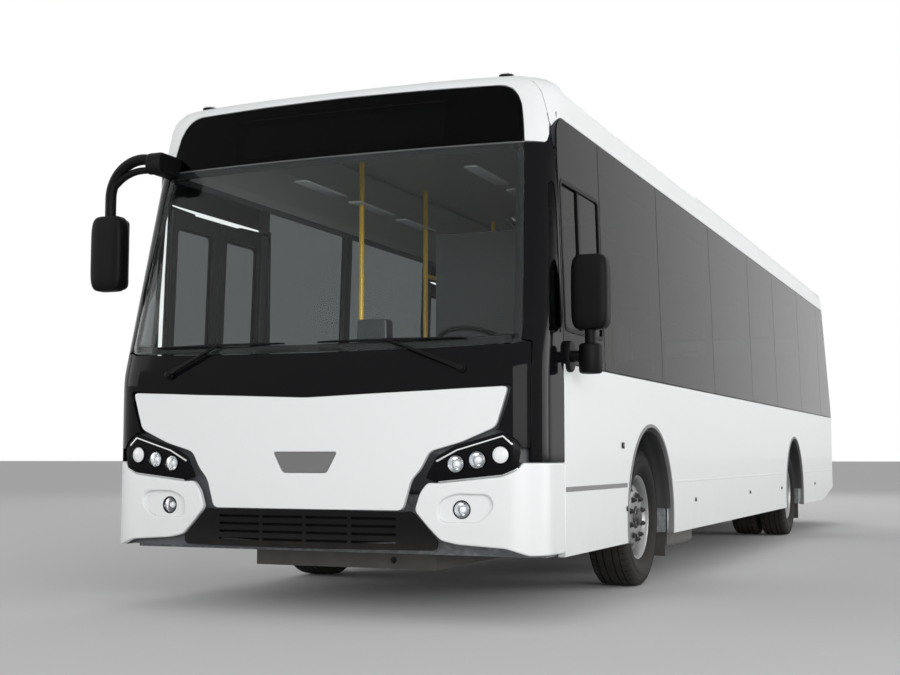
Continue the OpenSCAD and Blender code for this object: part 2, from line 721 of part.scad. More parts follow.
cab_inner_x = 120;
dash_gap = 3;
module dashboard() {
  color([0.16, 0.17, 0.18]) intersection() {
    union() {
      steering_column();
      along_x(cab_inner_x, hw) polygon([[front_y + 330, platform_z + 0.3], [front_y, 900], [front_y, 1290],
        [front_y + 300, 1345], [front_y + 560, 1300], [front_y + 600, 1200], [front_y + 420, 1100],
        [front_y + 420, platform_z + 0.3]]);
      along_x(-hw, cab_inner_x - seam) polygon([[front_y + 299.7, floor_z], [front_y, floor_z], [front_y, 1270],
        [front_y + 330, 1240], [front_y + 330, platform_z + 0.3], [front_y + 299.7, platform_z + 0.3]]);
    }
    union() {
      front_upright(wall_t + dash_gap);
      intersection() {
        front_lean(wall_t + dash_gap);
        box(-hw, hw, front_y, front_seam_y + 700, front_break_z - 0.1, 1500);
      }
    }
  }
}
// Column under the steering wheel with its shroud on the dashboard
module steering_column() {
  translate(wheel_centre) rotate([-wheel_tilt, 0, 0]) translate([0, 0, -260]) cylinder(r = 30, h = 260 - 18.3);
  along_x(driver_x - 55, driver_x + 55) polygon([[front_y + 400, 960], [front_y + 400, 1250],
    [front_y + 620, 1300], [front_y + 660, 1210]]);
}
driver_x = 660;
driver_y = front_y + 1050;
wheel_centre = [driver_x, front_y + 760, 1420];
wheel_tilt = 28;
module steering_wheel() {
  color([0.08, 0.08, 0.08]) translate(wheel_centre) rotate([-wheel_tilt, 0, 0]) {
    rotate_extrude() translate([212, 0]) circle(r = 14, $fn = 20);
    translate([0, 0, -18]) cylinder(r = 60, h = 30);
    for (a = [0, 120, 240]) rotate([0, 0, a + 30]) translate([50, -14, -10]) cube([155, 28, 14]);
  }
}
module driver_partition() {
  color([0.2, 0.2, 0.21]) {
    box(cab_inner_x, hw - wall_t - 40, driver_y + 420, driver_y + 450, platform_z + 0.3, 2200);
    box(cab_inner_x, cab_inner_x + 30, driver_y - 200, driver_y + 420.2, platform_z + 0.3, 1500);
  }
}

// Where the floor steps up, and where the rear bench floor starts
step_y = front_axle_y + middle_door_from + doorway_w + 760;
bench_y = rear_axle_y + 0.509 * (rear_y - rear_axle_y);
bench_t = 30;

// Seat rows, as y of the front edge, floor height, 1 for the left side or 3 for both sides
seat_w = 420;
seat_aisle_x = 275;
seat_gap = 10;
pair_x = [seat_aisle_x, seat_aisle_x + seat_w + seat_gap];
low_row_y = front_axle_y + 640;
low_pitch = seat_pitch + 20;
high_row_y = step_y + 240;
bench_z = 1150;
seat_depth = 508;
bench_row_y = bench_y + 70;
high_rows = floor((bench_y - 50 - seat_depth - high_row_y) / seat_pitch) + 1;
bench_rows = floor((rear_y - 330 - seat_depth - bench_row_y) / seat_pitch) + 1;
row_table = concat(
  [[low_row_y, floor_z, 3], [low_row_y + low_pitch, floor_z, 3], [low_row_y + 2 * low_pitch, floor_z, 1],
    [low_row_y + 3 * low_pitch, floor_z, 1]],
  [for (i = [0:high_rows - 1]) [high_row_y + i * seat_pitch, rear_floor_z, 3]],
  [for (i = [0:bench_rows - 1]) [bench_row_y + i * seat_pitch, bench_z, 3]]);
shell_t = 22;
pan_z = 400;
back_top_z = 900;
// Side view of a moulded shell: pan, round hip and leaning back
module shell_side() {
  hip_r = 70;
  polygon(concat([[0, pan_z - shell_t], [430 - hip_r, pan_z - shell_t - 20]],
    arc(430 - hip_r, pan_z - 20 + hip_r, hip_r + shell_t, -90, -12, 5), [[508, back_top_z - 20], [498, back_top_z],
    [488, back_top_z]], arc(430 - hip_r, pan_z - 20 + hip_r, hip_r, -12, -90, 5), [[0, pan_z]]));
}
// Front of the backrest at height z, with the pad's clearance
function back_y(z) = 428.5 + (z - pan_z - 35.5) * 59.5 / (back_top_z - pan_z - 35.5) - 0.6;
module pad_side() {
  polygon([[8, pan_z + 0.3], [360, pan_z - 16], [372, pan_z + 22], [30, pan_z + 38], [8, pan_z + 26]]);
  polygon([[back_y(pan_z + 80), pan_z + 80], [back_y(back_top_z - 40), back_top_z - 40],
    [back_y(back_top_z - 40) - 20, back_top_z - 34], [back_y(pan_z + 80) - 28, pan_z + 90]]);
}
module each_row() {
  for (r = row_table) {
    translate([0, r[0], r[1]]) children();
    if (r[2] == 3) mirror([1, 0, 0]) translate([0, r[0], r[1]]) children();
  }
}
module seat_pair() {
  for (x = pair_x) along_x(x, x + seat_w) shell_side();
  // beam to the side wall and one leg near the aisle
  along_x(seat_aisle_x + 40, hw) polygon([[150, pan_z - 80], [230, pan_z - 80], [230, pan_z - shell_t - 7], [150, pan_z - shell_t - 7]]);
  along_x(seat_aisle_x + 160, seat_aisle_x + 220) polygon([[110, 0.3], [290, 0.3], [230, pan_z - 79], [150, pan_z - 79]]);
}
module seat_frames() {
  color([0.25, 0.26, 0.28]) {
    intersection() {
      each_row() seat_pair();
      along_y(front_seam_y, rear_y) section2d(wall_t + 0.3, 100);
    }
    translate([driver_x - seat_w / 2, driver_y - 200, platform_z]) {
      along_x(0, seat_w) shell_side();
      along_x(seat_w / 2 - 110, seat_w / 2 + 110) polygon([[60, 0.3], [360, 0.3], [330, pan_z - 30], [90, pan_z - 20]]);
    }
  }
}
module seat_pads() {
  color([0.2, 0.25, 0.4]) {
    each_row() for (x = pair_x) along_x(x + 25, x + seat_w - 25) pad_side();
    translate([driver_x - seat_w / 2, driver_y - 200, platform_z]) along_x(25, seat_w - 25) pad_side();
  }
}
// Grab poles, as x, y and floor height
pole_x = seat_aisle_x - pole_d / 2 - 8;
door_pole_x = 560;
pole_table = [
  [-door_pole_x, front_axle_y - 480, floor_z], [door_pole_x, front_axle_y + 590, floor_z],
  [-door_pole_x, front_axle_y + 590, floor_z], [-door_pole_x, middle_door_y - 110, floor_z],
  [-door_pole_x, middle_door_y + doorway_w + 80, floor_z], [pole_x, low_row_y + 2 * low_pitch + 470, floor_z],
  [-pole_x, high_row_y + 470, rear_floor_z], [pole_x, high_row_y + 470, rear_floor_z],
  [-pole_x, high_row_y + 2 * seat_pitch + 470, rear_floor_z], [pole_x, high_row_y + 2 * seat_pitch + 470, rear_floor_z]];
rail_z = 2150;
module handrails() {
  color("gold") {
    for (p = pole_table)
      translate([p[0], p[1], p[2] + 0.3]) cylinder(d = pole_d, h = ceiling_z - p[2] - 0.6);
    // rails along the aisle at hand height, between poles
    bar([-door_pole_x, pole_table[2][1], rail_z], [-door_pole_x, pole_table[3][1], rail_z], pole_d / 2 - 2);
    for (sx = [-1, 1]) bar([sx * pole_x, pole_table[6][1], rail_z], [sx * pole_x, pole_table[8][1], rail_z], pole_d / 2 - 2);
    // guard rail beside the front door
    bent_bar([[-door_pole_x, pole_table[0][1], 1250], [-door_pole_x - 160, pole_table[0][1] + 30, 1180],
      [-hw + wall_t + seat_c + pole_d / 2 - 1, pole_table[0][1] + 60, 1180]], pole_d / 2 - 2);
  }
}

// Floor and chassis

floor_end_y = rear_y - 130;
floor_front_y = front_y + 300;
seat_c = 0.3;
tub_x = 630;
tub_t = 20;
step_run = 300;
step_rise = (rear_floor_z - floor_z) / 3;
floor_half_w = hw - wall_t - seat_c;
under_z = floor_z - floor_t;
// Side view of a wheel box, grown by a wall, out to a given side and down to a given height
module tub(y, grow, outer_x, low) {
  r = arch_r - tub_t + grow;
  along_x(tub_x - grow, outer_x) polygon(concat(arc(y, hub_z, r, 0, 180, 24), [[y - r, low], [y + r, low]]));
}
module tub_hollow(y, grow) {
  tub(y, grow, hw - wall_t + tub_t, under_z - floor_t);
}
module wheel_box(y) {
  difference() {
    tub(y, tub_t, floor_half_w, under_z);
    tub_hollow(y, 0);
    // the rear axle passes through under the raised floor
    if (y == rear_axle_y)
      box(tub_x - tub_t - 5, tub_x + 5, y - arch_r - 5, y + arch_r + 5, 0, rear_floor_z - floor_t);
  }
}
module floor_board(y0, y1, z0, z1) {
  box(-floor_half_w, floor_half_w, y0, y1, z0, z1);
}
module floor() {
  color([0.35, 0.36, 0.38]) {
    difference() {
      floor_board(floor_front_y, step_y - 2 * step_run - floor_t - seam, under_z, floor_z);
      both_sides() tub_hollow(front_axle_y, tub_t + seam);
    }
    // driver's platform
    box(cab_inner_x, floor_half_w, floor_front_y, driver_y + 460, floor_z + seat_c, platform_z);
    // two steps and the riser of the rear floor
    for (i = [1, 2])
      floor_board(step_y - (3 - i) * step_run - floor_t, step_y - (2 - i) * step_run - floor_t - seat_c, under_z,
        floor_z + i * step_rise);
    floor_board(step_y - floor_t, step_y, under_z, rear_floor_z - floor_t - seat_c);
    difference() {
      floor_board(step_y - floor_t, bench_y - floor_t - seat_c, rear_floor_z - floor_t, rear_floor_z);
      both_sides() tub_hollow(rear_axle_y, tub_t + seam);
    }
    // bench over the engine, with its riser
    floor_board(bench_y - floor_t, bench_y, rear_floor_z - floor_t, bench_z - bench_t - seat_c);
    translate([0, 0, bench_z - bench_t]) linear_extrude(bench_t) mirrored2d([[floor_half_w, bench_y - floor_t],
      [floor_half_w, rear_seam_y - 40], [floor_half_w - 115, floor_end_y]]);
    for (y = [front_axle_y, rear_axle_y]) both_sides() wheel_box(y);
  }
}
rail_x = 470;
rail_w = 80;
tow_x = 300;
tow_r = 18;
tow_z = 262;
rear_tow_y = rear_y - 320;
rear_tow_z = rear_floor_z - floor_t - 75;
module underframe() {
  low = 215;
  top = floor_z - floor_t;
  gap = 150;
  color([0.15, 0.15, 0.16]) difference() {
    union() {
      // front bay and middle bay of the low frame
      for (bay = [[front_seam_y, front_axle_y - gap], [front_axle_y + gap, step_y - seat_c]]) {
        both_sides() box(rail_x, rail_x + rail_w, bay[0], bay[1], low, top);
        bays = round((bay[1] - bay[0]) / 700);
        for (i = [0:bays]) translate([0, bay[0] + (bay[1] - bay[0] - rail_w) * i / bays, 0])
          box(-rail_x, rail_x, 0, rail_w, low, top);
      }
      // raised rear frame
      both_sides() {
        box(rail_x - rail_w, rail_x, step_y + seat_c, step_y + rail_w, low, rear_floor_z - floor_t - seat_c);
        box(rail_x - rail_w, rail_x, step_y + rail_w, rear_y - 220, rear_floor_z - floor_t - 150, rear_floor_z - floor_t - seat_c);
      }
      for (y = [step_y + 200, rear_axle_y - 650, rear_axle_y + 650, bench_y - 100, rear_tow_y])
        box(-rail_x, rail_x, y, y + rail_w, rear_floor_z - floor_t - 140, rear_floor_z - floor_t - 10);
    }
    // sockets for a towing bar in the first and the last cross member
    translate([tow_x, front_seam_y - 1, tow_z]) rotate([-90, 0, 0]) cylinder(r = tow_r, h = rail_w + 2);
    translate([tow_x, rear_tow_y - 1, rear_tow_z]) rotate([-90, 0, 0]) cylinder(r = tow_r, h = rail_w + 2);
  }
}
module engine() {
  color([0.3, 0.31, 0.33]) box(-rail_x + rail_w + seat_c, rail_x - rail_w - seat_c, bench_y + 60, rear_y - 510, 430, 1080);
}
bottle_r = 47;
module tanks() {
  color([0.25, 0.25, 0.26]) {
    along_y(front_axle_y + 900, front_axle_y + 1700) polygon(rounded(640, 175, 1150, floor_z - floor_t - 0.3, 40));
    // air bottles along the kerb side rail
    for (y = [front_axle_y + 900, front_axle_y + 1560])
      translate([-rail_x - rail_w - seat_c - bottle_r, y, floor_z - floor_t - seat_c - bottle_r]) rotate([-90, 0, 0])
        cylinder(r = bottle_r, h = 600);
  }
}
module mudflaps() {
  color([0.06, 0.06, 0.06]) both_sides() {
    for (y = [front_axle_y, rear_axle_y])
      box(hw - tyre_inset - tyre_w, hw - tyre_inset, y + arch_r + 4, y + arch_r + 10, 150, floor_z - floor_t - 0.3);
  }
}

// Axles and wheels

kingpin_r = 20;
spindle_r = 32;
module front_axle() {
  color([0.2, 0.2, 0.2]) translate([0, front_axle_y, 0]) {
    // dropped beam
    along_y(-60, 60) mirrored2d([[kingpin_x - 50, 215], [kingpin_x - 50, 400], [kingpin_x - 120, 400],
      [kingpin_x - 190, 295]]);
    both_sides() {
      difference() {
        union() {
          translate([kingpin_x, 0, 386]) cylinder(r = 42, h = 95);
          box(kingpin_x - 110, kingpin_x, -38, 38, 386, 481);
        }
        translate([kingpin_x, 0, 300]) cylinder(r = kingpin_r + run_c, h = 300);
      }
      // radius rod to the frame
      box(rail_x + 15, rail_x + 65, 50, 150 - seat_c, 232, 282);
    }
  }
}
module knuckle() {
  difference() {
    union() {
      translate([kingpin_x, 0, 352]) cylinder(r = 42, h = 32);
      translate([kingpin_x, 0, 483]) cylinder(r = 42, h = 32);
      box(kingpin_x, kingpin_x + 75, -42, 42, 352, 384);
      box(kingpin_x, kingpin_x + 75, -42, 42, 483, 515);
      box(kingpin_x + 50, kingpin_x + 75, -60, 60, 352, 515);
    }
    translate([kingpin_x, 0, 340]) cylinder(r = kingpin_r - 4, h = 8);
  }
  translate([kingpin_x, 0, 360]) cylinder(r = kingpin_r, h = 140);
  translate([kingpin_x + 60, 0, hub_z]) rotate([0, 90, 0]) cylinder(r = spindle_r, h = 250);
  // steering arm
  box(kingpin_x - 70, kingpin_x - 20, 25, 230, 487, 515);
}
module left_knuckle() {
  color("dimgray") translate([0, front_axle_y, 0]) knuckle();
}
module right_knuckle() {
  color("dimgray") mirror([1, 0, 0]) translate([0, front_axle_y, 0]) knuckle();
}
// Revolved shapes are drawn as radius and distance outwards from the wheel's centre plane
rim_r = rim_d / 2;
module rim_barrel(flip_x) {
  pts = [[rim_r, -100], [rim_r, -88], [rim_r - 18, -84], [rim_r - 30, -20], [rim_r - 30, 20], [rim_r - 18, 84],
    [rim_r, 88], [rim_r, 100], [rim_r - 12, 100], [rim_r - 26, 84], [rim_r - 40, 20], [rim_r - 40, -20], [rim_r - 26, -84], [rim_r - 12, -100]];
  polygon([for (p = pts) [p[0], flip_x * p[1]]]);
}
stud_pcd = 275;
module on_hub(x, y) {
  translate([x, y, hub_z]) rotate([0, 90, 0]) children();
}
module front_rim() {
  on_hub(wheel_x, front_axle_y) difference() {
    union() {
      rotate_extrude() rim_barrel(1);
      // convex disc and hub
      rotate_extrude() polygon([[spindle_r + run_c, 20], [spindle_r + run_c, 118], [60, 118], [72, 108], [78, 86],
        [165, 86], [205, 62], [rim_r - 34, 8], [rim_r - 34, -6], [195, 48], [160, 72], [90, 72], [78, 20]]);
    }
    for (i = [0:9]) rotate([0, 0, 36 * i + 18]) translate([198, 0, 0]) cylinder(r = 22, h = 120);
  }
}
module rear_rims() {
  on_hub(wheel_x, rear_axle_y) {
    rotate_extrude() rim_barrel(1);
    translate([0, 0, -twin_spacing]) rotate_extrude() rim_barrel(1);
    // discs back to back, with the hub inside the dish
    difference() {
      rotate_extrude() polygon([[spindle_r + run_c, -240], [spindle_r + run_c, 20], [95, 20], [105, 0], [110, -130],
        [165, -130], [200, -110], [rim_r - 34, -14], [rim_r - 34, -30], [205, -130], [205, -165], [rim_r - 34, -266],
        [rim_r - 34, -282], [195, -180], [160, -158], [110, -158], [105, -240]]);
      for (i = [0:9]) rotate([0, 0, 36 * i + 18]) translate([198, 0, -260]) cylinder(r = 20, h = 220);
    }
  }
}
module tyre(offset_x) {
  translate([0, 0, offset_x]) rotate_extrude() polygon([[rim_r - 17.6, -83], [rim_r + 0.4, -87.6], [rim_r + 0.4, -104],
    [rim_r + 30, -122], [tyre_r - 90, -tyre_w / 2], [tyre_r - 28, -tyre_w / 2 + 8], [tyre_r - 4, -tyre_w / 2 + 32],
    [tyre_r, -60], [tyre_r, 60], [tyre_r - 4, tyre_w / 2 - 32], [tyre_r - 28, tyre_w / 2 - 8], [tyre_r - 90, tyre_w / 2],
    [rim_r + 30, 122], [rim_r + 0.4, 104], [rim_r + 0.4, 87.6], [rim_r - 17.6, 83]]);
}
module front_tyre() {
  on_hub(wheel_x, front_axle_y) tyre(0);
}
module rear_tyres() {
  on_hub(wheel_x, rear_axle_y) {
    tyre(0);
    tyre(-twin_spacing);
  }
}
module front_left_rim() { color("silver") front_rim(); }
module front_right_rim() { color("silver") mirror([1, 0, 0]) front_rim(); }
module rear_left_rims() { color("silver") rear_rims(); }
module rear_right_rims() { color("silver") mirror([1, 0, 0]) rear_rims(); }
module front_left_tyre() { color([0.1, 0.1, 0.1]) front_tyre(); }
module front_right_tyre() { color([0.1, 0.1, 0.1]) mirror([1, 0, 0]) front_tyre(); }
module rear_left_tyres() { color([0.1, 0.1, 0.1]) rear_tyres(); }
module rear_right_tyres() { color([0.1, 0.1, 0.1]) mirror([1, 0, 0]) rear_tyres(); }
module rear_axle() {
  color([0.2, 0.2, 0.2]) translate([0, rear_axle_y, hub_z]) {
    rotate([0, 90, 0]) translate([0, 0, -560]) cylinder(r = 75, h = 1120);
    rotate([0, 90, 0]) translate([0, 0, -130]) cylinder(r = 195, h = 260);
    both_sides() {
      rotate([0, 90, 0]) translate([0, 0, 540]) cylinder(r = spindle_r, h = wheel_x - 540 + 10);
      // air springs in front of and behind the axle
      for (y = [-330, 330]) {
        box(rail_x - 130, rail_x - 10, min(0, y) - 60, max(0, y) + 60, -60, -20);
        translate([rail_x - 70, y, -40]) cylinder(r = 60, h = rear_floor_z - floor_t - 150 - hub_z + 40 - seat_c);
      }
    }
  }
}

// Door mechanism. u runs from the jamb to the middle of the doorway,
// v runs inwards from 25 mm under the lower skin.

post_back = 48;
post_u = -post_back;
post_v = 49;
post_r = 15;
pivot_v = 16;
arm_z = floor_z + 5;
leaf_low_z = arm_z + 17;
leaf_top_z = door_head_z - 34;
leaf_len = (doorway_w - leaf_meet_gap) / 2 - leaf_jamb_gap;
pivot_u = leaf_jamb_gap + leaf_len / 2;

// Places u, v, z on the kerb side from a jamb at y0, looking along dir
module at_jamb(y0, dir) {
  translate([-hw + 25, y0, 0]) mirror([0, dir < 0 ? 1 : 0, 0]) children();
}
module door_post() {
  translate([post_v, post_u, floor_z + 0.3]) cylinder(r = post_r, h = door_head_z - floor_z - 0.6);
  for (z = [arm_z, leaf_top_z + 0.5]) hull_arm(z);
}
module hull_arm(z) {
  a = [post_v, post_u];
  b = [pivot_v, pivot_u];
  translate([0, 0, z]) linear_extrude(16.5) union() {
    polygon([a + [12, 0], a - [12, 0], b - [12, 0], b + [12, 0]]);
    translate(a) circle(r = 12);
    translate(b) circle(r = 12);
  }
}
module leaf_slab(t0, t1, z0, z1, u0, u1) {
  translate([hw - 25, 0, 0]) mirror([1, 0, 0]) along_y(u0, u1) wall2d(t0, t1, z0, z1);
}
pane_low = 480;
pane_top = leaf_top_z - 90;
pane_rim = 62;
module door_leaf() {
  difference() {
    leaf_slab(5, 5 + leaf_t, leaf_low_z, leaf_top_z, leaf_jamb_gap, leaf_jamb_gap + leaf_len);
    along_x(-60, 120) polygon(rounded(leaf_jamb_gap + pane_rim, pane_low, leaf_jamb_gap + leaf_len - pane_rim, pane_top, 45));
  }
}
module door_pane() {
  intersection() {
    leaf_slab(14, 14 + glass_t, leaf_low_z, leaf_top_z, leaf_jamb_gap, leaf_jamb_gap + leaf_len);
    along_x(-60, 120) offset(delta = -0.3)
      polygon(rounded(leaf_jamb_gap + pane_rim, pane_low, leaf_jamb_gap + leaf_len - pane_rim, pane_top, 45));
  }
}
module front_door_post_a() { color("gold") at_jamb(front_door_y, 1) door_post(); }
module front_door_post_b() { color("gold") at_jamb(front_door_y + doorway_w, -1) door_post(); }
module middle_door_post_a() { color("gold") at_jamb(middle_door_y, 1) door_post(); }
module middle_door_post_b() { color("gold") at_jamb(middle_door_y + doorway_w, -1) door_post(); }
module front_door_leaf_a() { color([0.07, 0.07, 0.07]) at_jamb(front_door_y, 1) door_leaf(); }
module front_door_leaf_b() { color([0.07, 0.07, 0.07]) at_jamb(front_door_y + doorway_w, -1) door_leaf(); }
module middle_door_leaf_a() { color([0.07, 0.07, 0.07]) at_jamb(middle_door_y, 1) door_leaf(); }
module middle_door_leaf_b() { color([0.07, 0.07, 0.07]) at_jamb(middle_door_y + doorway_w, -1) door_leaf(); }
module front_door_pane_a() { color("slategray", 0.5) at_jamb(front_door_y, 1) door_pane(); }
module front_door_pane_b() { color("slategray", 0.5) at_jamb(front_door_y + doorway_w, -1) door_pane(); }
module middle_door_pane_a() { color("slategray", 0.5) at_jamb(middle_door_y, 1) door_pane(); }
module middle_door_pane_b() { color("slategray", 0.5) at_jamb(middle_door_y + doorway_w, -1) door_pane(); }

underframe();
floor();
left_side();
right_side();
roof();
ceiling();
front_cap();
destination_glass();
windscreen();
corner_posts();
front_band();
front_panel();
bumper_corners();
lower_grille();
headlamps();
left_glass();
right_glass();
rear_panel();
rear_glass();
tail_lamps();
marker_lamps();
left_mirror();
right_mirror();
wipers();
dashboard();
driver_partition();
seat_frames();
seat_pads();
handrails();
front_axle();
rear_axle();
engine();
tanks();
mudflaps();
left_knuckle();
right_knuckle();
front_left_rim();
front_right_rim();
rear_left_rims();
rear_right_rims();
front_left_tyre();
front_right_tyre();
rear_left_tyres();
rear_right_tyres();
steering_wheel();
front_door_post_a();
front_door_post_b();
middle_door_post_a();
middle_door_post_b();
front_door_leaf_a();
front_door_leaf_b();
middle_door_leaf_a();
middle_door_leaf_b();
front_door_pane_a();
front_door_pane_b();
middle_door_pane_a();
middle_door_pane_b();
engine_hatch();
roof_hatch();
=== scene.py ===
"""Low-entry city bus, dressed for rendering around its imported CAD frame.

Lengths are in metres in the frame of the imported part: +Z is up, the front faces -Y
and +X is the driver's side.
"""

import logging
import math
from dataclasses import dataclass
from enum import Enum
from typing import Callable, Dict, List, Optional, Sequence, Tuple

import bmesh
import bpy
import numpy as np
from mathutils import Matrix, Vector
from mathutils.geometry import delaunay_2d_cdt


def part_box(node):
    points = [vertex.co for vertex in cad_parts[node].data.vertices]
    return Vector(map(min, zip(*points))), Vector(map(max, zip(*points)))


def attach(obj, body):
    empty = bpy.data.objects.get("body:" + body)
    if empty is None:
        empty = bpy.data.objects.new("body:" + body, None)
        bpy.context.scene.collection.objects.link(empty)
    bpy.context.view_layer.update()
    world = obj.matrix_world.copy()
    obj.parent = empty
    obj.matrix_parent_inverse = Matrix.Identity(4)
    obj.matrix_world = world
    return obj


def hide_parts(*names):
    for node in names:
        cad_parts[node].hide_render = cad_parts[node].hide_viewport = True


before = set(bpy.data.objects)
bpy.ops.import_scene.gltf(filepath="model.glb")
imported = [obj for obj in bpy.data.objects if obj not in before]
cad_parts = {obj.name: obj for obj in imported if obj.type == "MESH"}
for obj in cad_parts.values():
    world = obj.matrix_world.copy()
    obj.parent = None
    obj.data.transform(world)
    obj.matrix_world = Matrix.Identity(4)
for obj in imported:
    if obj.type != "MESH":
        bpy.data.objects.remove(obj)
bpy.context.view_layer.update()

LOG = logging.getLogger("bus")

Array = np.ndarray
Pair = Tuple[float, float]


def lows(node: str) -> Array:
    """Lowest corner of a CAD node."""
    return np.array(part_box(node)[0])


def highs(node: str) -> Array:
    """Highest corner of a CAD node."""
    return np.array(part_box(node)[1])


# Sizes read from the frame
HALF_W = float(highs("left_side")[0])
FRONT_Y = float(lows("front_panel")[1])
REAR_Y = float(highs("engine_hatch")[1])
ROOF_Z = float(highs("roof")[2])
SKIRT_Z = float(lows("left_side")[2])
FRONT_SEAM_Y = float(lows("left_side")[1])
GLASS_LOW_Z = float(lows("left_glass")[2]) - 0.002
GLASS_TOP_Z = float(highs("left_glass")[2]) + 0.002
HUB_Z = float((lows("front_left_tyre")[2] + highs("front_left_tyre")[2]) / 2)
TYRE_R = float((highs("front_left_tyre")[2] - lows("front_left_tyre")[2]) / 2)
RIM_R = float((highs("front_left_rim")[2] - lows("front_left_rim")[2]) / 2)
FRONT_AXLE_Y = float((lows("front_left_tyre")[1] + highs("front_left_tyre")[1]) / 2)
REAR_AXLE_Y = float((lows("rear_left_tyres")[1] + highs("rear_left_tyres")[1]) / 2)
WHEEL_X = float((lows("front_left_tyre")[0] + highs("front_left_tyre")[0]) / 2)
TYRE_W = float(highs("front_left_tyre")[0] - lows("front_left_tyre")[0])
TWIN_SPACING = float(highs("rear_left_tyres")[0] - lows("rear_left_tyres")[0]) - TYRE_W

# Sizes of the body's form, as in the part's source
WAIST_Z = 1.306
CANTRAIL_Z = 2.740
SIDE_LEAN = 0.044
ROOF_EDGE_R = ROOF_Z - CANTRAIL_Z - 0.010
ARCH_R = 0.575
REAR_SEAM_Y = REAR_Y - 0.240
FLOOR_Z = 0.340
CAP_END_Y = FRONT_SEAM_Y + 0.165
DOOR_HEAD_Z = 2.336
RIGHT_SEAMS = (-4.246, -3.000, -1.484, -0.386, 1.180, 2.760, 4.340)

# Layers of the glass, as depths under the skin, and half the gap between two panes
PANE = (0.0, 0.005)
END_PANE = (0.0, 0.006)
PRINT_LAYER = (0.006, 0.0075)
END_PRINT_LAYER = (0.0075, 0.0085)
HEADER_PRINT_LAYER = (0.006, 0.012)
HALF_GAP = 0.003

# Look of the film of dust
DUST_COLOUR = (0.30, 0.27, 0.23)


class Slot(Enum):
    """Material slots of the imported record."""

    WHITE = "white_paint"
    BLACK_GLOSS = "black_gloss"
    BLACK_PLASTIC = "black_plastic"
    CLEAR_GLASS = "clear_glass"
    TINTED_GLASS = "tinted_glass"
    LAMP = "lamp"
    RED_LENS = "red_lens"
    AMBER_LENS = "amber_lens"
    YELLOW = "yellow_rail"
    FRAME = "frame_paint"
    FLOOR = "floor_vinyl"
    LINER = "liner"
    CAB = "cab_plastic"
    SEAT_SHELL = "seat_plastic"
    SEAT_FABRIC = "seat_fabric"
    CAST = "cast_steel"
    WHEEL = "wheel_steel"
    TYRE = "tyre"
    FLAP = "mudflap_rubber"


class Pattern(Enum):
    """Surface detail that a finish can carry."""

    PLAIN = "plain"
    GRAIN = "grain"
    PEEL = "peel"
    WEAVE = "weave"
    SPECKLE = "speckle"


def add(nodes: bpy.types.Nodes, kind: str, **values: float) -> bpy.types.Node:
    """Adds a shader node and sets its inputs, whose names are given with _ for a blank."""
    made = nodes.new("ShaderNode" + kind)
    for name, value in values.items():
        made.inputs[name.replace("_", " ")].default_value = value
    return made


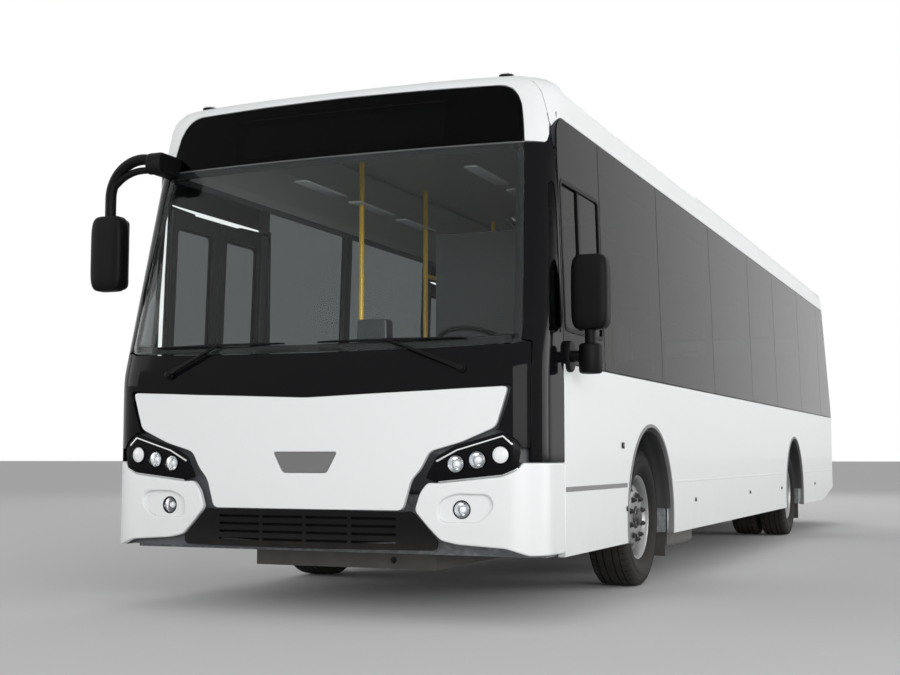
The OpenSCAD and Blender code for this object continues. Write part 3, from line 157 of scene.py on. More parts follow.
class Groups:
    """Shader node groups that the finishes share, each built once."""

    _made: Dict[str, bpy.types.NodeTree] = {}

    @classmethod
    def start(cls, name: str, takes: Sequence[str], gives: Sequence[str]) -> bpy.types.NodeTree:
        """Starts a group with number sockets on both sides and notes it under its name."""
        tree = bpy.data.node_groups.new(name, "ShaderNodeTree")
        for way, sockets in (("INPUT", takes), ("OUTPUT", gives)):
            for socket in sockets:
                tree.interface.new_socket(socket, in_out=way, socket_type="NodeSocketFloat")
        cls._made[name] = tree
        return tree

    @classmethod
    def relief(cls) -> bpy.types.NodeTree:
        """Height of a fine noise on object coordinates, with a coarser one added."""
        if "relief" in cls._made:
            return cls._made["relief"]
        tree = cls.start("relief", ("Scale", "Coarse"), ("Height",))
        nodes, links = tree.nodes, tree.links
        entry, leave = nodes.new("NodeGroupInput"), nodes.new("NodeGroupOutput")
        place, total = add(nodes, "TexCoord"), add(nodes, "Math")
        total.operation = "ADD"
        for slot, (source, detail) in enumerate((("Scale", 3.0), ("Coarse", 1.0))):
            noise = add(nodes, "TexNoise", Detail=detail)
            links.new(place.outputs["Object"], noise.inputs["Vector"])
            links.new(entry.outputs[source], noise.inputs["Scale"])
            links.new(noise.outputs["Fac"], total.inputs[slot])
        links.new(total.outputs[0], leave.inputs["Height"])
        return tree

    @classmethod
    def road_film(cls) -> bpy.types.NodeTree:
        """Mask of the thin film of dust, which fades from the skirts up and breaks up in a noise."""
        if "road_film" in cls._made:
            return cls._made["road_film"]
        tree = cls.start("road_film", ("Top", "Amount"), ("Mask",))
        nodes, links = tree.nodes, tree.links
        entry, leave = nodes.new("NodeGroupInput"), nodes.new("NodeGroupOutput")
        place, split = add(nodes, "TexCoord"), add(nodes, "SeparateXYZ")
        links.new(place.outputs["Object"], split.inputs[0])
        fade = add(nodes, "MapRange", From_Max=0.1)
        fade.interpolation_type = "SMOOTHSTEP"
        links.new(split.outputs["Z"], fade.inputs["Value"])
        links.new(entry.outputs["Top"], fade.inputs["From Min"])
        noise = add(nodes, "TexNoise", Scale=7.0, Detail=6.0)
        links.new(place.outputs["Object"], noise.inputs["Vector"])
        broken, scaled = add(nodes, "Math"), add(nodes, "Math")
        broken.operation = scaled.operation = "MULTIPLY"
        links.new(fade.outputs["Result"], broken.inputs[0])
        links.new(noise.outputs["Fac"], broken.inputs[1])
        links.new(broken.outputs[0], scaled.inputs[0])
        links.new(entry.outputs["Amount"], scaled.inputs[1])
        links.new(scaled.outputs[0], leave.inputs["Mask"])
        return tree

    @classmethod
    def weave(cls) -> bpy.types.NodeTree:
        """Height and colour mask of a woven cloth: two crossed waves on object coordinates."""
        if "weave" in cls._made:
            return cls._made["weave"]
        tree = cls.start("weave", ("Scale",), ("Height", "Mask"))
        nodes, links = tree.nodes, tree.links
        entry, leave = nodes.new("NodeGroupInput"), nodes.new("NodeGroupOutput")
        place, product = add(nodes, "TexCoord"), add(nodes, "Math")
        product.operation = "MULTIPLY"
        for slot, direction in enumerate(("X", "DIAGONAL")):
            wave = add(nodes, "TexWave", Distortion=0.6)
            wave.bands_direction = direction
            links.new(place.outputs["Object"], wave.inputs["Vector"])
            links.new(entry.outputs["Scale"], wave.inputs["Scale"])
            links.new(wave.outputs["Fac"], product.inputs[slot])
        cells = add(nodes, "TexVoronoi", Scale=70.0)
        links.new(place.outputs["Object"], cells.inputs["Vector"])
        links.new(product.outputs[0], leave.inputs["Height"])
        links.new(cells.outputs["Distance"], leave.inputs["Mask"])
        return tree


@dataclass(frozen=True)
class Finish:
    """One surface finish and its shader."""

    name: str
    slot: Slot
    colour: Tuple[float, float, float]
    roughness: float = 0.5
    metallic: float = 0.0
    coat: float = 0.0
    transmission: float = 0.0
    ior: float = 1.5
    pattern: Pattern = Pattern.GRAIN
    relief_scale: float = 400.0
    relief_depth: float = 0.0004
    second: Optional[Tuple[float, float, float]] = None
    dust: float = 0.0
    dust_top: float = 1.0
    shine: float = 0.5

    def material(self) -> bpy.types.Material:
        """Builds the material, or returns the one that was built before."""
        found = bpy.data.materials.get(self.name)
        if found:
            return found
        made = bpy.data.materials.new(self.name)
        made.use_nodes = True
        nodes, links = made.node_tree.nodes, made.node_tree.links
        shader = nodes["Principled BSDF"]
        for socket, value in (("Base Color", (*self.colour, 1.0)), ("Roughness", self.roughness),
                              ("Metallic", self.metallic), ("IOR", self.ior),
                              ("Specular IOR Level", self.shine),
                              ("Coat Weight", self.coat), ("Coat Roughness", 0.03),
                              ("Transmission Weight", self.transmission)):
            shader.inputs[socket].default_value = value
        if self.pattern != Pattern.PLAIN:
            self._relief(nodes, links, shader)
        if self.second or self.dust:
            self._colours(nodes, links, shader)
        if self.transmission:
            self._let_shadows_through(nodes, links, shader)
        return made

    def _relief(self, nodes: bpy.types.Nodes, links: bpy.types.NodeLinks, shader: bpy.types.Node) -> None:
        """Feeds the finish's relief to the normal and a little of it to the roughness."""
        bump = add(nodes, "Bump", Distance=self.relief_depth, Strength=0.5)
        source = nodes.new("ShaderNodeGroup")
        woven = self.pattern == Pattern.WEAVE
        source.node_tree = Groups.weave() if woven else Groups.relief()
        source.inputs["Scale"].default_value = self.relief_scale
        if not woven:
            source.inputs["Coarse"].default_value = self.relief_scale * 0.21
        links.new(source.outputs["Height"], bump.inputs["Height"])
        links.new(bump.outputs["Normal"], shader.inputs["Normal"])
        if self.pattern in (Pattern.GRAIN, Pattern.SPECKLE):
            spread = add(nodes, "MapRange", From_Max=2.0, To_Min=max(0.02, self.roughness - 0.08),
                         To_Max=min(1.0, self.roughness + 0.08))
            links.new(source.outputs["Height"], spread.inputs["Value"])
            links.new(spread.outputs["Result"], shader.inputs["Roughness"])

    def _colours(self, nodes: bpy.types.Nodes, links: bpy.types.NodeLinks, shader: bpy.types.Node) -> None:
        """Mixes the second colour and the road film into the base colour."""
        last = None
        if self.second:
            mix = self._mixer(nodes, self.second)
            group = nodes.new("ShaderNodeGroup")
            if self.pattern == Pattern.WEAVE:
                group.node_tree = Groups.weave()
                group.inputs["Scale"].default_value = self.relief_scale
                links.new(group.outputs["Mask"], mix.inputs["Factor"])
            else:
                group.node_tree = Groups.relief()
                group.inputs["Scale"].default_value = self.relief_scale * 0.5
                group.inputs["Coarse"].default_value = self.relief_scale * 0.07
                narrow = add(nodes, "MapRange", From_Min=0.9, From_Max=1.35)
                links.new(group.outputs["Height"], narrow.inputs["Value"])
                links.new(narrow.outputs["Result"], mix.inputs["Factor"])
            last = mix.outputs["Result"]
        if self.dust:
            film = nodes.new("ShaderNodeGroup")
            film.node_tree = Groups.road_film()
            film.inputs["Top"].default_value = self.dust_top
            film.inputs["Amount"].default_value = self.dust
            over = self._mixer(nodes, DUST_COLOUR)
            if last is not None:
                links.new(last, over.inputs["A"])
            links.new(film.outputs["Mask"], over.inputs["Factor"])
            last = over.outputs["Result"]
        links.new(last, shader.inputs["Base Color"])

    def _mixer(self, nodes: bpy.types.Nodes, other: Tuple[float, float, float]) -> bpy.types.Node:
        """Colour mix of the finish's own colour with another one."""
        made = nodes.new("ShaderNodeMix")
        made.data_type = "RGBA"
        made.inputs["A"].default_value = (*self.colour, 1.0)
        made.inputs["B"].default_value = (*other, 1.0)
        return made

    def _let_shadows_through(self, nodes: bpy.types.Nodes, links: bpy.types.NodeLinks,
                             shader: bpy.types.Node) -> None:
        """Lets light pass the glass for shadow rays, so that what is behind it is lit."""
        path, mix = add(nodes, "LightPath"), add(nodes, "MixShader")
        clear = add(nodes, "BsdfTransparent", Color=(*[c ** 0.5 for c in self.colour], 1.0))
        links.new(path.outputs["Is Shadow Ray"], mix.inputs["Fac"])
        links.new(shader.outputs["BSDF"], mix.inputs[1])
        links.new(clear.outputs["BSDF"], mix.inputs[2])
        links.new(mix.outputs["Shader"], nodes["Material Output"].inputs["Surface"])


class Finishes:
    """Every finish of the bus."""

    WHITE = Finish("white_body_paint", Slot.WHITE, (0.80, 0.815, 0.82), 0.36, coat=0.12, pattern=Pattern.PEEL,
                   relief_scale=140.0, relief_depth=0.00005, dust=0.25, dust_top=0.75)
    BLACK = Finish("black_front_gloss", Slot.BLACK_GLOSS, (0.0045, 0.0045, 0.0055), 0.08, coat=0.04,
                   pattern=Pattern.PEEL, relief_scale=120.0, relief_depth=0.00003, shine=0.06)
    PRINT = Finish("black_glass_print", Slot.BLACK_GLOSS, (0.012, 0.012, 0.013), 0.35, pattern=Pattern.PEEL,
                   relief_scale=300.0, relief_depth=0.00003, shine=0.1)
    PLASTIC = Finish("black_grained_plastic", Slot.BLACK_PLASTIC, (0.005, 0.005, 0.0055), 0.48,
                     relief_scale=900.0, dust=0.2, dust_top=0.5, shine=0.1)
    SEAL = Finish("black_rubber_seal", Slot.BLACK_PLASTIC, (0.007, 0.007, 0.008), 0.62, relief_scale=700.0,
                  shine=0.15)
    CLEAR = Finish("clear_windscreen_glass", Slot.CLEAR_GLASS, (0.83, 0.88, 0.87), 0.0, transmission=1.0,
                   ior=1.22, pattern=Pattern.PLAIN)
    TINTED = Finish("tinted_side_glass", Slot.TINTED_GLASS, (0.10, 0.105, 0.108), 0.0, transmission=1.0,
                    ior=1.12, pattern=Pattern.PLAIN)
    LENS = Finish("clear_lamp_lens", Slot.LAMP, (0.94, 0.95, 0.96), 0.0, transmission=1.0, ior=1.35,
                  pattern=Pattern.PLAIN)
    BULB = Finish("frosted_lamp_glass", Slot.LAMP, (0.86, 0.87, 0.88), 0.22, coat=0.6, relief_scale=260.0,
                  relief_depth=0.0012)
    CHROME = Finish("lamp_reflector", Slot.LAMP, (0.86, 0.87, 0.88), 0.07, metallic=1.0, pattern=Pattern.PEEL,
                    relief_scale=90.0, relief_depth=0.00005)
    RED = Finish("red_tail_lens", Slot.RED_LENS, (0.48, 0.012, 0.012), 0.12, coat=1.0, relief_scale=300.0,
                 relief_depth=0.0009)
    AMBER = Finish("amber_marker_lens", Slot.AMBER_LENS, (0.80, 0.30, 0.03), 0.14, coat=1.0,
                   relief_scale=300.0, relief_depth=0.0009)
    YELLOW = Finish("yellow_rail_coat", Slot.YELLOW, (0.86, 0.52, 0.02), 0.32, coat=0.4, pattern=Pattern.PEEL,
                    relief_scale=500.0, relief_depth=0.0001)
    FRAME = Finish("chassis_paint", Slot.FRAME, (0.035, 0.036, 0.038), 0.55, relief_scale=220.0,
                   relief_depth=0.0008, dust=0.35, dust_top=1.0)
    FLOOR = Finish("safety_floor_vinyl", Slot.FLOOR, (0.16, 0.17, 0.18), 0.6, pattern=Pattern.SPECKLE,
                   relief_scale=500.0, second=(0.30, 0.31, 0.32))
    LINER = Finish("light_wall_liner", Slot.LINER, (0.52, 0.52, 0.50), 0.5, relief_scale=600.0)
    WELL = Finish("dark_wheel_box", Slot.FRAME, (0.03, 0.031, 0.033), 0.7, relief_scale=150.0,
                  relief_depth=0.0015, dust=0.25, dust_top=1.0)
    CAB = Finish("dashboard_plastic", Slot.CAB, (0.085, 0.09, 0.10), 0.52, relief_scale=800.0)
    CAB_DARK = Finish("instrument_plastic", Slot.CAB, (0.02, 0.02, 0.022), 0.4, relief_scale=800.0)
    SCREEN = Finish("dark_screen", Slot.CAB, (0.008, 0.009, 0.011), 0.12, coat=0.8, pattern=Pattern.PEEL,
                    relief_scale=400.0, relief_depth=0.00003)
    SEAT_SHELL = Finish("seat_shell_plastic", Slot.SEAT_SHELL, (0.045, 0.046, 0.05), 0.45, relief_scale=700.0)
    FABRIC = Finish("seat_moquette", Slot.SEAT_FABRIC, (0.035, 0.045, 0.085), 0.9, pattern=Pattern.WEAVE,
                    relief_scale=330.0, relief_depth=0.0009, second=(0.12, 0.15, 0.22))
    CAST = Finish("painted_casting", Slot.CAST, (0.045, 0.045, 0.047), 0.5, metallic=0.3, relief_scale=160.0,
                  relief_depth=0.0012, dust=0.4, dust_top=0.9)
    HUB = Finish("dark_hub_paint", Slot.WHEEL, (0.05, 0.05, 0.052), 0.45, metallic=0.4, relief_scale=260.0)
    WHEEL = Finish("silver_wheel_paint", Slot.WHEEL, (0.30, 0.305, 0.31), 0.38, metallic=0.75,
                   relief_scale=420.0, relief_depth=0.0002, dust=0.25, dust_top=0.9)
    NUT = Finish("bright_wheel_nut", Slot.WHEEL, (0.62, 0.62, 0.62), 0.25, metallic=1.0, relief_scale=500.0)
    TYRE = Finish("tyre_rubber", Slot.TYRE, (0.010, 0.010, 0.0105), 0.68, relief_scale=260.0,
                  relief_depth=0.0007, dust=0.14, dust_top=0.9, shine=0.12)
    FLAP = Finish("mudflap_rubber_sheet", Slot.FLAP, (0.012, 0.012, 0.013), 0.7, relief_scale=300.0,
                  dust=0.25)
    LIP = Finish("grey_arch_lip", Slot.BLACK_PLASTIC, (0.20, 0.20, 0.205), 0.5, relief_scale=500.0)
    SMOKE = Finish("smoked_marker_lens", Slot.LAMP, (0.12, 0.115, 0.11), 0.2, coat=0.6, relief_scale=260.0)
    PLATE = Finish("bare_badge_plate", Slot.BLACK_PLASTIC, (0.18, 0.18, 0.182), 0.38, metallic=0.3,
                   relief_scale=500.0)
    STRIP = Finish("grey_glass_seam", Slot.BLACK_PLASTIC, (0.10, 0.10, 0.105), 0.3, coat=0.5,
                   relief_scale=500.0)
    MIRROR = Finish("mirror_silver", Slot.LAMP, (0.92, 0.93, 0.93), 0.02, metallic=1.0, pattern=Pattern.PLAIN)


# Meshes


def flatten(loops: Sequence[Array]) -> Tuple[Array, Array]:
    """Joins closed loops into points and their edges.

    Args:
        loops: closed outlines, each of shape (n, 2).

    Returns:
        The points and the index pairs of the edges.
    """
    points = np.concatenate(loops)
    edges, start = [], 0
    for loop in loops:
        index = np.arange(len(loop)) + start
        edges.append(np.stack([index, np.roll(index, -1)], 1))
        start += len(loop)
    return points, np.concatenate(edges)


def signed_area(loop: Array) -> float:
    """Area of a closed outline, positive when it runs anticlockwise."""
    x, y = loop[:, 0], loop[:, 1]
    return float(np.sum(x * np.roll(y, -1) - np.roll(x, -1) * y) / 2)


def wound(loop: Array, anticlockwise: bool) -> Array:
    """The outline in the wanted direction, without repeated points."""
    loop = np.asarray(loop, float)
    loop = loop[np.linalg.norm(loop - np.roll(loop, 1, 0), axis=1) > 1e-5]
    return loop if (signed_area(loop) > 0) == anticlockwise else loop[::-1]


def densify(loop: Array, step: float) -> Array:
    """Adds even points along an outline's edges, so that none is longer than step."""
    loop = np.asarray(loop, float)
    ends = np.roll(loop, -1, 0)
    counts = np.maximum(1, np.ceil(np.linalg.norm(ends - loop, axis=1) / step)).astype(int)
    start = np.repeat(np.arange(len(loop)), counts)
    share = (np.arange(counts.sum()) - np.repeat(np.cumsum(counts) - counts, counts)) / counts[start]
    return loop[start] + (ends[start] - loop[start]) * share[:, None]


def mitres(loop: Array) -> Array:
    """Vectors that move each corner of an outline to its left, one unit off both its edges."""
    ahead, behind = np.roll(loop, -1, 0) - loop, loop - np.roll(loop, 1, 0)
    normals = []
    for edge in (ahead, behind):
        edge = edge / np.maximum(np.linalg.norm(edge, axis=1, keepdims=True), 1e-9)
        normals.append(np.stack([-edge[:, 1], edge[:, 0]], 1))
    total = normals[0] + normals[1]
    share = 1 + np.sum(normals[0] * normals[1], 1, keepdims=True)
    return total / np.maximum(share, 0.35)


def inside(points: Array, loops: Sequence[Array]) -> Array:
    """True for points that lie inside an odd number of the outlines, by crossings of a ray along +u."""
    corners, edges = flatten(loops)
    a, b = corners[edges[:, 0]], corners[edges[:, 1]]
    py = points[:, 1][:, None]
    spans = (a[:, 1] > py) != (b[:, 1] > py)
    rise = np.where(np.abs(b[:, 1] - a[:, 1]) < 1e-12, 1e-12, b[:, 1] - a[:, 1])
    cross = a[:, 0] + (py - a[:, 1]) * (b[:, 0] - a[:, 0]) / rise
    return (np.sum(spans & (points[:, 0][:, None] < cross), 1) % 2) == 1


def clearance(points: Array, loops: Sequence[Array]) -> Array:
    """Distance from each point to the nearest outline edge."""
    corners, edges = flatten(loops)
    a, b = corners[edges[:, 0]][None], corners[edges[:, 1]][None]
    along = b - a
    share = np.sum((points[:, None] - a) * along, 2) / np.maximum(np.sum(along * along, 2), 1e-18)
    near = a + along * np.clip(share, 0, 1)[..., None]
    return np.linalg.norm(points[:, None] - near, axis=2).min(1)


def fill(loops: Sequence[Array], step: float) -> Tuple[Array, Array]:
    """Triangulates the area between outlines, with an even grid of points inside.

    Args:
        loops: the outer outline first, then the holes.
        step: spacing of the grid.

    Returns:
        All points, the outlines' own first and in order, and the triangles.
    """
    border, edges = flatten(loops)
    low, high = loops[0].min(0), loops[0].max(0)
    counts = np.maximum(2, np.ceil((high - low) / step)).astype(int)
    axes = [np.linspace(low[i], high[i], counts[i] + 1)[1:-1] for i in (0, 1)]
    grid = np.stack(np.meshgrid(*axes), -1).reshape(-1, 2)
    grid = grid[inside(grid, loops)]
    if len(grid):
        grid = grid[clearance(grid, loops) > step * 0.3]
    points = np.concatenate([border, grid]) if len(grid) else border
    found = delaunay_2d_cdt([Vector(p) for p in points.tolist()], edges.tolist(), [], 0, 1e-7)
    origin = np.array([o[0] if len(o) else 0 for o in found[3]])
    triangles = origin[np.array(found[2])]
    centres = points[triangles].mean(1)
    return points, triangles[inside(centres, loops)]


class Skin:
    """A surface with two parameters, whose outer side is found by finite differences."""

    outward: float = 1.0

    def surface(self, u: Array, v: Array) -> Array:
        """Points of the surface at parameters u and v."""
        raise NotImplementedError

    def shell(self, uv: Array, depth: Array) -> Tuple[Array, Array]:
        """Points under the surface and the surface's normals there.

        Args:
            uv: parameters, of shape (n, 2).
            depth: how far under the surface each point lies.

        Returns:
            Points and outward unit normals, each of shape (n, 3).
        """
        u, v = uv[:, 0], uv[:, 1]
        tiny = 1e-4
        du = self.surface(u + tiny, v) - self.surface(u - tiny, v)
        dv = self.surface(u, v + tiny) - self.surface(u, v - tiny)
        normal = np.cross(du, dv) * self.outward
        normal /= np.maximum(np.linalg.norm(normal, axis=1, keepdims=True), 1e-15)
        return self.surface(u, v) - normal * np.asarray(depth).reshape(-1, 1), normal


@dataclass
class Flat(Skin):
    """A plane through origin, with parameters along two directions."""

    origin: Tuple[float, float, float]
    along_u: Tuple[float, float, float]
    along_v: Tuple[float, float, float]
    outward: float = 1.0

    def surface(self, u: Array, v: Array) -> Array:
        """Origin plus u and v times their directions."""
        return (np.array(self.origin) + u[:, None] * np.array(self.along_u)
                + v[:, None] * np.array(self.along_v))


def lay_mesh(name: str, points: Array, faces: List[Sequence[int]],
             normals: Optional[Array] = None) -> bpy.types.Object:
    """Puts points and faces into a new smooth object.

    Args:
        name: the piece's name.
        points: of shape (n, 3).
        faces: vertex indices of each face.
        normals: one normal for each face corner, or none for Blender's own.

    Returns:
        The new object, linked to the scene.
    """
    mesh = bpy.data.meshes.new(name)
    mesh.from_pydata(points.tolist(), [], faces)
    mesh.polygons.foreach_set("use_smooth", np.ones(len(mesh.polygons), bool))
    mesh.update()
    if mesh.validate():
        LOG.warning("%s had faces that were dropped", name)
    elif normals is not None:
        mesh.normals_split_custom_set(normals.tolist())
    piece = bpy.data.objects.new(name, mesh)
    bpy.context.scene.collection.objects.link(piece)
    return piece


def dress(piece: bpy.types.Object, finish: Finish, body: str = "chassis",
          nodes: Sequence[str] = ()) -> bpy.types.Object:
    """Gives a piece its finish and its body, which is mostly the chassis, and hides the CAD nodes that it
    stands for.
    """
    piece.data.materials.clear()
    piece.data.materials.append(finish.material())
    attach(piece, body)
    if nodes:
        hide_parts(*nodes)
    return piece


def paint(node: str, finish: Finish) -> None:
    """Gives a CAD node a finish."""
    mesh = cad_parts[node].data
    mesh.materials.clear()
    mesh.materials.append(finish.material())


def panel(
    name: str,
    skin: Skin,
    outline: Array,
    holes: Sequence[Array] = (),
    depth: Pair = (0.0, 0.05),
    edge: float = 0.003,
    step: float = 0.08,
    mirror: bool = False,
) -> bpy.types.Object:
    """Builds a closed panel that follows a skin, with rounded outer edges.

    The front sheet fills the outline drawn in by the edge radius. Rings then follow a
    quarter circle out to the outline, walls go down to the back sheet, and every face
    corner takes the skin's own normal there.

    Args:
        name: the piece's name.
        skin: the surface that it follows.
        outline: outer outline in the skin's parameters.
        holes: outlines of the holes.
        depth: depth of the front and of the back sheet.
        edge: radius of the rounded edge.
        step: spacing of the inner points.
        mirror: builds the piece for the other side, as x to -x.

    Returns:
        The new object.
    """
    loops = [densify(wound(outline, True), step)] + [densify(wound(h, False), step) for h in holes]
    shift = np.concatenate([mitres(loop) for loop in loops])
    border, edges = flatten(loops)
    count = len(border)
    ring_angles = np.radians([0, 30, 60, 90]) if edge else np.array([math.pi / 2])
    sizes = np.cumsum([len(loop) for loop in loops])[:-1]
    inner = np.split(border + shift * edge, sizes) if edge else loops
    front_uv, front_tri = fill(inner, step)
    back_uv, back_tri = fill(loops, step * 2)
    sheets_uv, sheets_depth = [front_uv], [np.full(len(front_uv), depth[0])]
    ring_start, total = [0], len(front_uv)
    for angle in ring_angles[1:] if edge else []:
        sheets_uv.append(border + shift * edge * (1 - math.sin(angle)))
        sheets_depth.append(np.full(count, depth[0] + edge * (1 - math.cos(angle))))
        ring_start.append(total)
        total += count
    back_start = total
    sheets_uv.append(back_uv)
    sheets_depth.append(np.full(len(back_uv), depth[1]))
    points, normal = skin.shell(np.concatenate(sheets_uv), np.concatenate(sheets_depth))
    # outward direction in the surface at each border point
    side_uv, _ = skin.shell(border - shift * 1e-4, np.zeros(count))
    side_in, _ = skin.shell(border, np.zeros(count))
    side = side_uv - side_in
    side /= np.maximum(np.linalg.norm(side, axis=1, keepdims=True), 1e-12)
    flip = skin.outward < 0
    faces: List[Sequence[int]] = []
    corners: List[Array] = []

    def add(block: Array, block_normals: Array) -> None:
        """Adds faces with a normal for each corner, turned to face outwards."""
        if flip:
            block, block_normals = block[:, ::-1], block_normals[:, ::-1]
        faces.extend(block.tolist())
        corners.append(block_normals.reshape(-1, 3))

    add(front_tri, normal[front_tri])
    first, second = edges[:, 0], edges[:, 1]
    for ring in range(len(ring_start) - 1):
        a0, a1 = ring_angles[ring], ring_angles[ring + 1]
        upper, lower = ring_start[ring], ring_start[ring + 1]
        quad = np.stack([upper + first, lower + first, lower + second, upper + second], 1)
        tilt = [math.cos(a) * normal[:count] + math.sin(a) * side for a in (a0, a1)]
        add(quad, np.stack([tilt[0][first], tilt[1][first], tilt[1][second], tilt[0][second]], 1))
    last = ring_start[-1]
    wall = np.stack([last + first, back_start + first, back_start + second, last + second], 1)
    add(wall, np.stack([side[first], side[first], side[second], side[second]], 1))
    back = back_start + back_tri[:, ::-1]
    add(back, -normal[back])
    custom = np.concatenate(corners)
    if mirror:
        points = points * [-1, 1, 1]
        faces = [face[::-1] for face in faces]
        sizes_of = np.array([len(face) for face in faces])
        ends = np.cumsum(sizes_of)
        order = np.concatenate([np.arange(e - 1, e - n - 1, -1) for e, n in zip(ends, sizes_of)])
        custom = custom[order] * [-1, 1, 1]
    return lay_mesh(name, points, faces, custom)


def rounded_box(u0: float, v0: float, u1: float, v1: float, r: float, corners: int = 6) -> Array:
    """Outline of a rectangle with round corners."""
    turn = np.linspace(0, math.pi / 2, corners + 1)
    quarter = np.stack([np.cos(turn), np.sin(turn)], 1) * r
    middles = [(u1 - r, v1 - r), (u0 + r, v1 - r), (u0 + r, v0 + r), (u1 - r, v0 + r)]
    spins = [np.array([[1, 0], [0, 1]]), np.array([[0, 1], [-1, 0]]), -np.eye(2), np.array([[0, -1], [1, 0]])]
    return np.concatenate([quarter @ spin + middle for spin, middle in zip(spins, middles)])


def rounded_corners(loop: Sequence[Pair], r: float, corners: int = 5) -> Array:
    """Replaces each corner of an outline by a curve from r before it to r behind it."""
    loop = np.asarray(loop, float)
    before, after = np.roll(loop, 1, 0) - loop, np.roll(loop, -1, 0) - loop
    reach = [np.minimum(r, 0.45 * np.linalg.norm(e, axis=1))[:, None] * e
             / np.linalg.norm(e, axis=1)[:, None] for e in (before, after)]
    t = np.linspace(0, 1, corners)[None, :, None]
    start, end, middle = (loop + reach[0])[:, None], (loop + reach[1])[:, None], loop[:, None]
    curve = (1 - t) ** 2 * start + 2 * t * (1 - t) * middle + t ** 2 * end
    return curve.reshape(-1, 2)


def circle(u: float, v: float, r: float, count: int = 40) -> Array:
    """Outline of a circle."""
    turn = np.linspace(0, 2 * math.pi, count, endpoint=False)
    return np.stack([u + r * np.cos(turn), v + r * np.sin(turn)], 1)


def grid_faces(rows: int, columns: int, close_rows: bool, close_columns: bool) -> Array:
    """Quads over a grid of points, which may close on itself both ways."""
    i = np.arange(rows if close_rows else rows - 1)
    j = np.arange(columns if close_columns else columns - 1)
    i, j = [g.ravel() for g in np.meshgrid(i, j, indexing="ij")]
    i1, j1 = (i + 1) % rows, (j + 1) % columns
    return np.stack([i * columns + j, i1 * columns + j, i1 * columns + j1, i * columns + j1], 1)


def sharpen(piece: bpy.types.Object, degrees: float = 35.0) -> bpy.types.Object:
    """Marks edges sharper than an angle."""
    piece.data.set_sharp_from_angle(angle=math.radians(degrees))
    return piece


def revolve(
    name: str, profile: Sequence[Pair], centre: Sequence[float], count: int = 96, mirror: bool = False,
    sharp: float = 35.0,
) -> bpy.types.Object:
    """Turns a closed profile of radius and distance along +X round an axle through centre."""
    profile = np.asarray(profile, float)
    if signed_area(profile) < 0:
        profile = profile[::-1]
    turn = np.linspace(0, 2 * math.pi, count, endpoint=False)
    r, a = profile[:, 0][None], profile[:, 1][None]
    points = np.stack([np.broadcast_to(a, (count, len(profile))), r * np.sin(turn)[:, None],
                       r * np.cos(turn)[:, None]], -1).reshape(-1, 3) + np.array(centre)
    faces = grid_faces(count, len(profile), True, True)
    if mirror:
        points = points * [-1, 1, 1]
        faces = faces[:, ::-1]
    return sharpen(lay_mesh(name, points, faces.tolist()), sharp)


def tube(name: str, path: Sequence[Sequence[float]], radius: float, sides: int = 14, bend: float = 0.0,
         flat: float = 1.0) -> bpy.types.Object:
    """Carries a circle along a path, with closed ends.

    Args:
        name: the piece's name.
        path: points of the centreline.
        radius: of the tube.
        sides: points round the tube.
        bend: how far each corner of the path is rounded.
        flat: height of the section over its width.

    Returns:
        The new object.
    """
    path = np.asarray(path, float)
    if bend:
        pieces = [path[:1]]
        t = np.linspace(0, 1, 8)[:, None]
        for before, corner, after in zip(path[:-2], path[1:-1], path[2:]):
            arms = [(p - corner) / np.linalg.norm(p - corner) * min(bend, 0.48 * np.linalg.norm(p - corner))
                    for p in (before, after)]
            start, end = corner + arms[0], corner + arms[1]
            pieces.append((1 - t) ** 2 * start + 2 * t * (1 - t) * corner + t ** 2 * end)
        pieces.append(path[-1:])
        path = np.concatenate(pieces)
    tangent = np.gradient(path, axis=0)
    tangent /= np.linalg.norm(tangent, axis=1, keepdims=True)
    guide = np.array([0.0, 0.0, 1.0]) if abs(tangent[0][2]) < 0.9 else np.array([1.0, 0.0, 0.0])
    across = []
    for direction in tangent:
        guide = guide - direction * np.dot(guide, direction)
        guide = guide / np.linalg.norm(guide)
        across.append(guide)
    across = np.array(across)
    over = np.cross(tangent, across)
    turn = np.linspace(0, 2 * math.pi, sides, endpoint=False)
    cosine, sine = np.cos(turn)[None, :, None], np.sin(turn)[None, :, None]
    ring = cosine * across[:, None] * flat + sine * over[:, None]
    points = (path[:, None] + ring * radius).reshape(-1, 3)
    faces = grid_faces(len(path), sides, False, True)[:, ::-1].tolist()
    faces.append(list(range(sides)))
    faces.append(list(range(len(points) - 1, len(points) - sides - 1, -1)))
    made = lay_mesh(name, points, faces)
    fix_outside(made)
    return sharpen(made, 50)


def fix_outside(piece: bpy.types.Object) -> None:
    """Turns a closed mesh's faces outwards when its signed volume is negative."""
    work = bmesh.new()
    work.from_mesh(piece.data)
    volume = work.calc_volume(signed=True)
    work.free()
    if volume < 0:
        piece.data.flip_normals()


def prism(
    name: str, outline: Array, axis: str, low: float, high: float, bevel: float = 0.0, segments: int = 3,
) -> bpy.types.Object:
    """Extrudes an outline along one axis, and rounds its edges with a bevel.

    The outline is in y, z for axis x, in x, z for axis y and in x, y for axis z.
    """
    loop = wound(np.asarray(outline, float), True)
    count = len(loop)
    column = {"x": 0, "y": 1, "z": 2}[axis]
    others = [c for c in range(3) if c != column]
    points = np.zeros((2, count, 3))
    points[:, :, others] = loop
    points[0, :, column] = low
    points[1, :, column] = high
    index = np.arange(count)
    after = np.roll(index, -1)
    faces = np.stack([index, after, after + count, index + count], 1).tolist()
    faces += [index[::-1].tolist(), (index + count).tolist()]
    made = lay_mesh(name, points.reshape(-1, 3), faces)
    fix_outside(made)
    if bevel:
        round_edges(made, bevel, segments)
    else:
        sharpen(made, 30)
    return made


